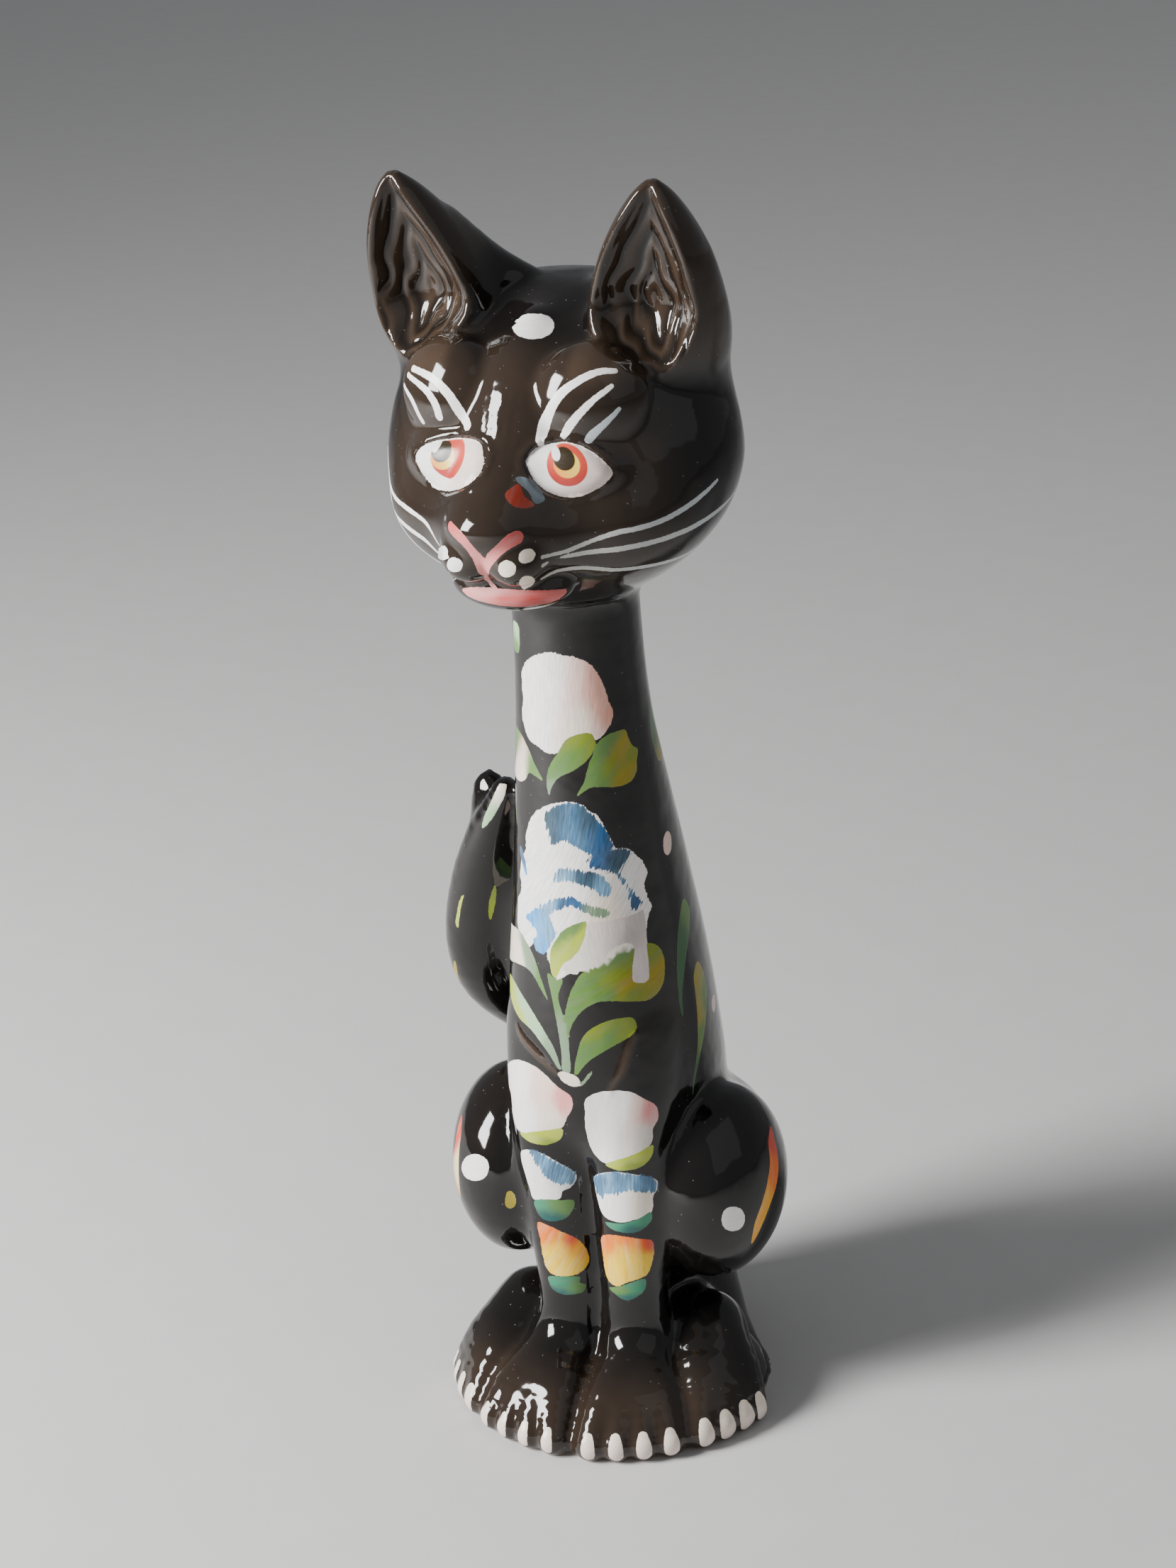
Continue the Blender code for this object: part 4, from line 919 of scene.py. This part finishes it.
# %% Second halving
normals = write(skin_points)
layers = lay_enamel(skin_points, normals)
q = head_points(skin_points)
fine = nearest_edge(layers) < edge_room
fine |= (skin_points[:, 2] < 15.0) & (skin_points[:, 1] < -24.0)
fine |= (skin_points[:, 2] > 285.0) & (np.abs(q[:, 0]) > 16.0) & (q[:, 1] < -12.0)
skin_points = halve(skin_points, fine)

# %% Even out points that strayed, the toes, and the skin under the back of the head
ends = np.array([[v.index for v in edge.verts] for edge in grid.edges])
for _ in range(4):
    astray = np.abs(full_form(skin_points)) > 0.25
    skin_points[astray] = relax(skin_points, ends)[astray]
for _ in range(2):
    toes = (skin_points[:, 2] > 1.0) & (skin_points[:, 2] < 22.0)
    skin_points[toes] = relax(skin_points, ends)[toes]
for _ in range(10):
    x, y, z = skin_points.T
    nape = rise(y, -14.0, -6.0) * rise(z, 222.0, 227.0) * rise(z, 246.0, 240.0)
    skin_points = skin_points + nape[:, None] * (relax(skin_points, ends) - skin_points)
normals = write(skin_points)
layers = lay_enamel(skin_points, normals)
print("triangles:", len(grid.faces), "worst miss", round(np.abs(full_form(skin_points)).max(), 2), "mm")

# %% [markdown]
# ## Hand the skin over
#
# The finished points go back into metres and into the frame's own place, and the surface is shaded smooth. This
# one piece stands for the solid, which stays where it is and isn't shown. What the brushes and the mould left at
# each point goes with the mesh, for the glaze to read.

# %% Write the mesh
for vertex, point in zip(grid.verts, (skin_points - OUTLINE_MIDDLE) * MM):
    vertex.co = point
grid.to_mesh(cat.data)
grid.free()
cat.data.validate()
cat.data.shade_smooth()
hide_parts("cat_figurine")
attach(cat, "root")
print("painted cat:", len(cat.data.polygons), "triangles")

# %% Keep the enamel with the mesh
def keep(name, values):
    """Stores one number or one vector for each point."""
    kind, field = ("FLOAT", "value") if values.ndim == 1 else ("FLOAT_VECTOR", "vector")
    cat.data.attributes.new(name, kind, "POINT").data.foreach_set(field, values.astype(np.float32).ravel())


for number, (edge, tint, brush) in enumerate(layers):
    keep(f"edge {number}", edge)
    keep(f"tint {number}", tint)
    keep(f"brush {number}", brush)
print("kept:", [entry.name for entry in cat.data.attributes if entry.name[-1].isdigit()])

# %% Places inside the eyes
irises = ((25, (-4.98, 265.4), (4.6, 4.6), (-0.12, 0.34)), (-30, (5.66, 265.3), (5.1, 4.4), (-0.50, 0.30)))
iris_place = np.full((len(skin_points), 4), clear)
for azimuth, centre, radii, pupil in irises:
    near = (skin_points[:, 1] < -24.0) & (np.abs(skin_points[:, 2] - 264.0) < 14.0)
    near &= (skin_points[:, 0] > -2.0) == (azimuth > 0)
    flat = (seen_from(skin_points[near], azimuth) - centre) / radii
    iris_place[near] = np.hstack([flat, flat - pupil])
keep("iris", np.column_stack([iris_place[:, :2], np.zeros(len(skin_points))]))
keep("pupil", np.column_stack([iris_place[:, 2:], np.zeros(len(skin_points))]))

# %% Where the glaze ran thin, and where a brown reflection is painted in
# Warm brown for the glaze: partly glaze that ran thin, partly painted brown reflection on the face, in the ears, on the
# paws and along the leg ridges.
lean = np.clip(relief(skin_points) / 0.3, -1.0, 1.0)
q = head_points(skin_points)
in_ear = rise(np.abs(q[:, 0]), 14.0, 18.0) * rise(q[:, 2], 281.0, 286.0) * (q[:, 1] < -8.0)
front = rise(q[:, 1], -18.0, -34.0) * rise(q[:, 2], 230.0, 242.0) * rise(q[:, 2], 300.0, 288.0)
paws_thin_and_sheen = rise(skin_points[:, 2], 24.0, 12.0) * rise(skin_points[:, 1], -20.0, -40.0)
ridge_thin_and_sheen = np.max([rise(limb(skin_points, ridge), 0.9, -0.5) for ridge in leg_ridges], axis=0)
thin_glaze_and_sheen = in_ear * (0.5 + 0.5 * lean) + 0.42 * front + 0.45 * paws_thin_and_sheen + 0.9 * ridge_thin_and_sheen
keep("thin glaze", np.clip(thin_glaze_and_sheen, 0.0, 1.0))
print("thin glaze on", round(100 * float((thin_glaze_and_sheen > 0.1).mean())), "% of the points")

# %% [markdown]
# ## Glaze and enamel
#
# One material covers the cat. The glaze is black and glossy, and shows warm brown where it ran thin; on the face, in
# the ears, on the paws and along the leg ridges that brown is also a painted reflection. The enamel over it is a little
# less glossy, streaked along the brush, and ends in an edge that the bristles left uneven.

# %% Signals
class Signal:
    """A socket of a node tree. Arithmetic on it adds Math nodes."""

    def __init__(self, tree, socket=None):
        self.tree, self.socket = tree, socket

    def feed(self, target, value):
        if isinstance(value, Signal):
            self.tree.links.new(value.socket, target)
        else:
            target.default_value = value

    def node(self, kind, settings, values, output=0):
        """Adds any other node: settings are set first, then values or links go to its sockets."""
        new = self.tree.nodes.new(kind)
        for name, value in settings.items():
            setattr(new, name, value)
        for name, value in values.items():
            self.feed(new.inputs[name], value)
        return Signal(self.tree, new.outputs[output])

    def math(self, operation, *values):
        return self.node("ShaderNodeMath", {"operation": operation}, dict(enumerate(values)))

    def __add__(self, other): return self.math("ADD", self, other)
    def __radd__(self, other): return self.math("ADD", other, self)
    def __sub__(self, other): return self.math("SUBTRACT", self, other)
    def __rsub__(self, other): return self.math("SUBTRACT", other, self)
    def __mul__(self, other): return self.math("MULTIPLY", self, other)
    def __rmul__(self, other): return self.math("MULTIPLY", other, self)

    def step(self, low, high):
        """1 at low and below, 0 at high and above."""
        return self.node("ShaderNodeMapRange", {"interpolation_type": "SMOOTHSTEP"},
                         {"Value": self, "From Min": low, "From Max": high, "To Min": 1.0, "To Max": 0.0})

    def read(self, name, vector=False):
        """Reads what the mesh keeps at its points."""
        return self.node("ShaderNodeAttribute", {"attribute_name": name}, {}, "Vector" if vector else "Fac")

    def stretch(self, factors):
        """Multiplies a vector by another."""
        return self.node("ShaderNodeVectorMath", {"operation": "MULTIPLY"}, {0: self, 1: factors})

    def noise(self, scale, detail=2.0):
        """Noise round 0 at the places this vector gives."""
        return self.node("ShaderNodeTexNoise", {}, {"Vector": self, "Scale": scale, "Detail": detail}) - 0.5

    def length(self, offset=(0.0, 0.0, 0.0)):
        moved = self.node("ShaderNodeVectorMath", {"operation": "SUBTRACT"}, {0: self, 1: offset})
        return self.node("ShaderNodeVectorMath", {"operation": "LENGTH"}, {0: moved}, "Value")

    def part(self, axis):
        return self.node("ShaderNodeSeparateXYZ", {}, {0: self}, axis)

    def blend(self, under, over):
        """Mixes two colours, with this signal as the share of the second."""
        return self.node("ShaderNodeMix", {"data_type": "RGBA"}, {0: self, 6: under, 7: over}, 2)

# %% Colours of the glaze
glaze = bpy.data.materials.new("black glaze and enamel")
glaze.use_nodes = True
tree = glaze.node_tree
shader = tree.nodes["Principled BSDF"]
start = Signal(tree)
place = start.node("ShaderNodeTexCoord", {}, {}, "Object").stretch((1000.0, 1000.0, 1000.0))
cloud = place.noise(0.05, 3.0)
ripple = place.noise(0.16, 1.0)
# Share of brown: glaze that ran thin together with painted brown reflection, stirred by a slow cloud.
thin_and_sheen = start.read("thin glaze") * 0.85 + cloud * 0.35
black, brown = (0.0060, 0.0050, 0.0046, 1.0), (0.062, 0.040, 0.026, 1.0)
colour = thin_and_sheen.math("MAXIMUM", thin_and_sheen, 0.0).blend(black, brown)
speck = place.node("ShaderNodeTexVoronoi", {"feature": "F1"}, {"Vector": place, "Scale": 0.45}, "Distance")
colour = (speck.step(0.05, 0.11) * place.noise(0.11, 0.0).step(-0.02, 0.04)).blend(colour, (0.12, 0.11, 0.10, 1.0))

# %% Layers of enamel
covered, streaks = None, None
for number in range(layer_count):
    edge, tint = start.read(f"edge {number}"), start.read(f"tint {number}", True)
    brush = start.read(f"brush {number}", True)
    bristle = brush.stretch((0.22, 1.9, 4.0)).noise(1.0, 3.0)
    wide = brush.stretch((0.10, 0.65, 4.0)).noise(1.0, 2.0)
    ragged_edge = edge + place.noise(1.1, 2.0) * 0.35 + bristle * brush.part("Z") * 3.4
    mask = ragged_edge.step(-0.07, 0.07)
    streaky = tint.node("ShaderNodeHueSaturation", {}, {
        "Color": tint, "Saturation": 1.0 + wide * 0.6,
        "Value": 1.0 + bristle * (0.15 + brush.part("Z") * 2.2) + wide * 0.22})
    colour = mask.blend(colour, streaky)
    covered = mask if covered is None else covered.math("MAXIMUM", covered, mask)
    streaks = bristle * mask if streaks is None else streaks * (1.0 - mask) + bristle * mask

# %% Irises
iris, pupil = start.read("iris", True), start.read("pupil", True)
in_eye = start.read("edge 0").step(-0.25, -0.15)
far, close = iris.length(), pupil.length((0.10, -0.26, 0.0))
red = pupil.part("Y").step(-1.4, 0.3).blend((0.62, 0.075, 0.045, 1.0), (0.42, 0.035, 0.028, 1.0))
colour = (far.step(0.97, 1.03) * in_eye).blend(colour, red)
gold = pupil.part("X").step(-0.6, 0.7).blend((0.90, 0.62, 0.10, 1.0), (0.88, 0.30, 0.05, 1.0))
colour = (close.step(0.62, 0.68) * in_eye).blend(colour, gold)
colour = (pupil.length().step(0.50, 0.56) * in_eye).blend(colour, (0.030, 0.020, 0.008, 1.0))
glint = pupil.stretch((1.3, 0.85, 1.0)).length((-0.50, 0.20, 0.0))
colour = (glint.step(0.24, 0.30) * in_eye).blend(colour, (0.92, 0.90, 0.88, 1.0))

# %% The bare foot, and how everything shines
foot = place.part("Z").step(0.5, 0.9)
colour = foot.blend(colour, (0.42, 0.33, 0.25, 1.0))
start.feed(shader.inputs["Base Color"], colour)
start.feed(shader.inputs["Roughness"], 0.07 + covered * 0.24 + streaks * 0.2 + foot * 0.6)
relief_signal = ripple + covered * 0.10 + streaks * 0.12
bump = start.node("ShaderNodeBump", {}, {"Height": relief_signal, "Strength": 0.5, "Distance": 0.0004})
start.feed(shader.inputs["Normal"], bump)
cat.data.materials.clear()
cat.data.materials.append(glaze)
print("glaze nodes:", len(tree.nodes))

# %% [markdown]
# ## Floor and light
#
# The cat stands on a plain pale sheet. One wide soft window at its right front gives the white reflections, and
# a weak fill comes from the other side.

# %% Floor and lamps
bpy.ops.mesh.primitive_plane_add(size=12.0, location=(0, 0, 0))
floor = bpy.context.object
floor.name = "pale_floor"
paper = bpy.data.materials.new("pale paper")
paper.use_nodes = True
sheet = Signal(paper.node_tree)
fibre = sheet.node("ShaderNodeTexCoord", {}, {}, "Object").noise(60.0, 4.0)
paper_colour = (fibre + 0.5).blend((0.60, 0.59, 0.58, 1.0), (0.64, 0.63, 0.62, 1.0))
sheet.feed(paper.node_tree.nodes["Principled BSDF"].inputs["Base Color"], paper_colour)
paper.node_tree.nodes["Principled BSDF"].inputs["Roughness"].default_value = 0.9
floor.data.materials.append(paper)
world = bpy.data.worlds.new("studio")
bpy.context.scene.world = world
world.use_nodes = True
world.node_tree.nodes["Background"].inputs["Color"].default_value = (0.75, 0.77, 0.80, 1.0)
world.node_tree.nodes["Background"].inputs["Strength"].default_value = 0.30
for name, at, wide, tall, power in (("window", (-0.78, -0.60, 0.64), 0.34, 0.62, 34.0),
                                    ("fill", (1.2, -0.6, 1.2), 1.6, 1.6, 1.8)):
    soft = bpy.data.lights.new(name, "AREA")
    soft.shape, soft.energy, soft.size, soft.size_y = "RECTANGLE", power, wide, tall
    lamp = bpy.data.objects.new(name, soft)
    lamp.location = at
    back = (Vector(at) - Vector((0.0, 0.0, 0.16))).normalized()
    side = Vector((0.0, 0.0, 1.0)).cross(back).normalized()
    lamp.rotation_euler = Matrix((side, back.cross(side), back)).transposed().to_euler()
    bpy.context.scene.collection.objects.link(lamp)
print("lamps:", [item.name for item in bpy.data.lights])
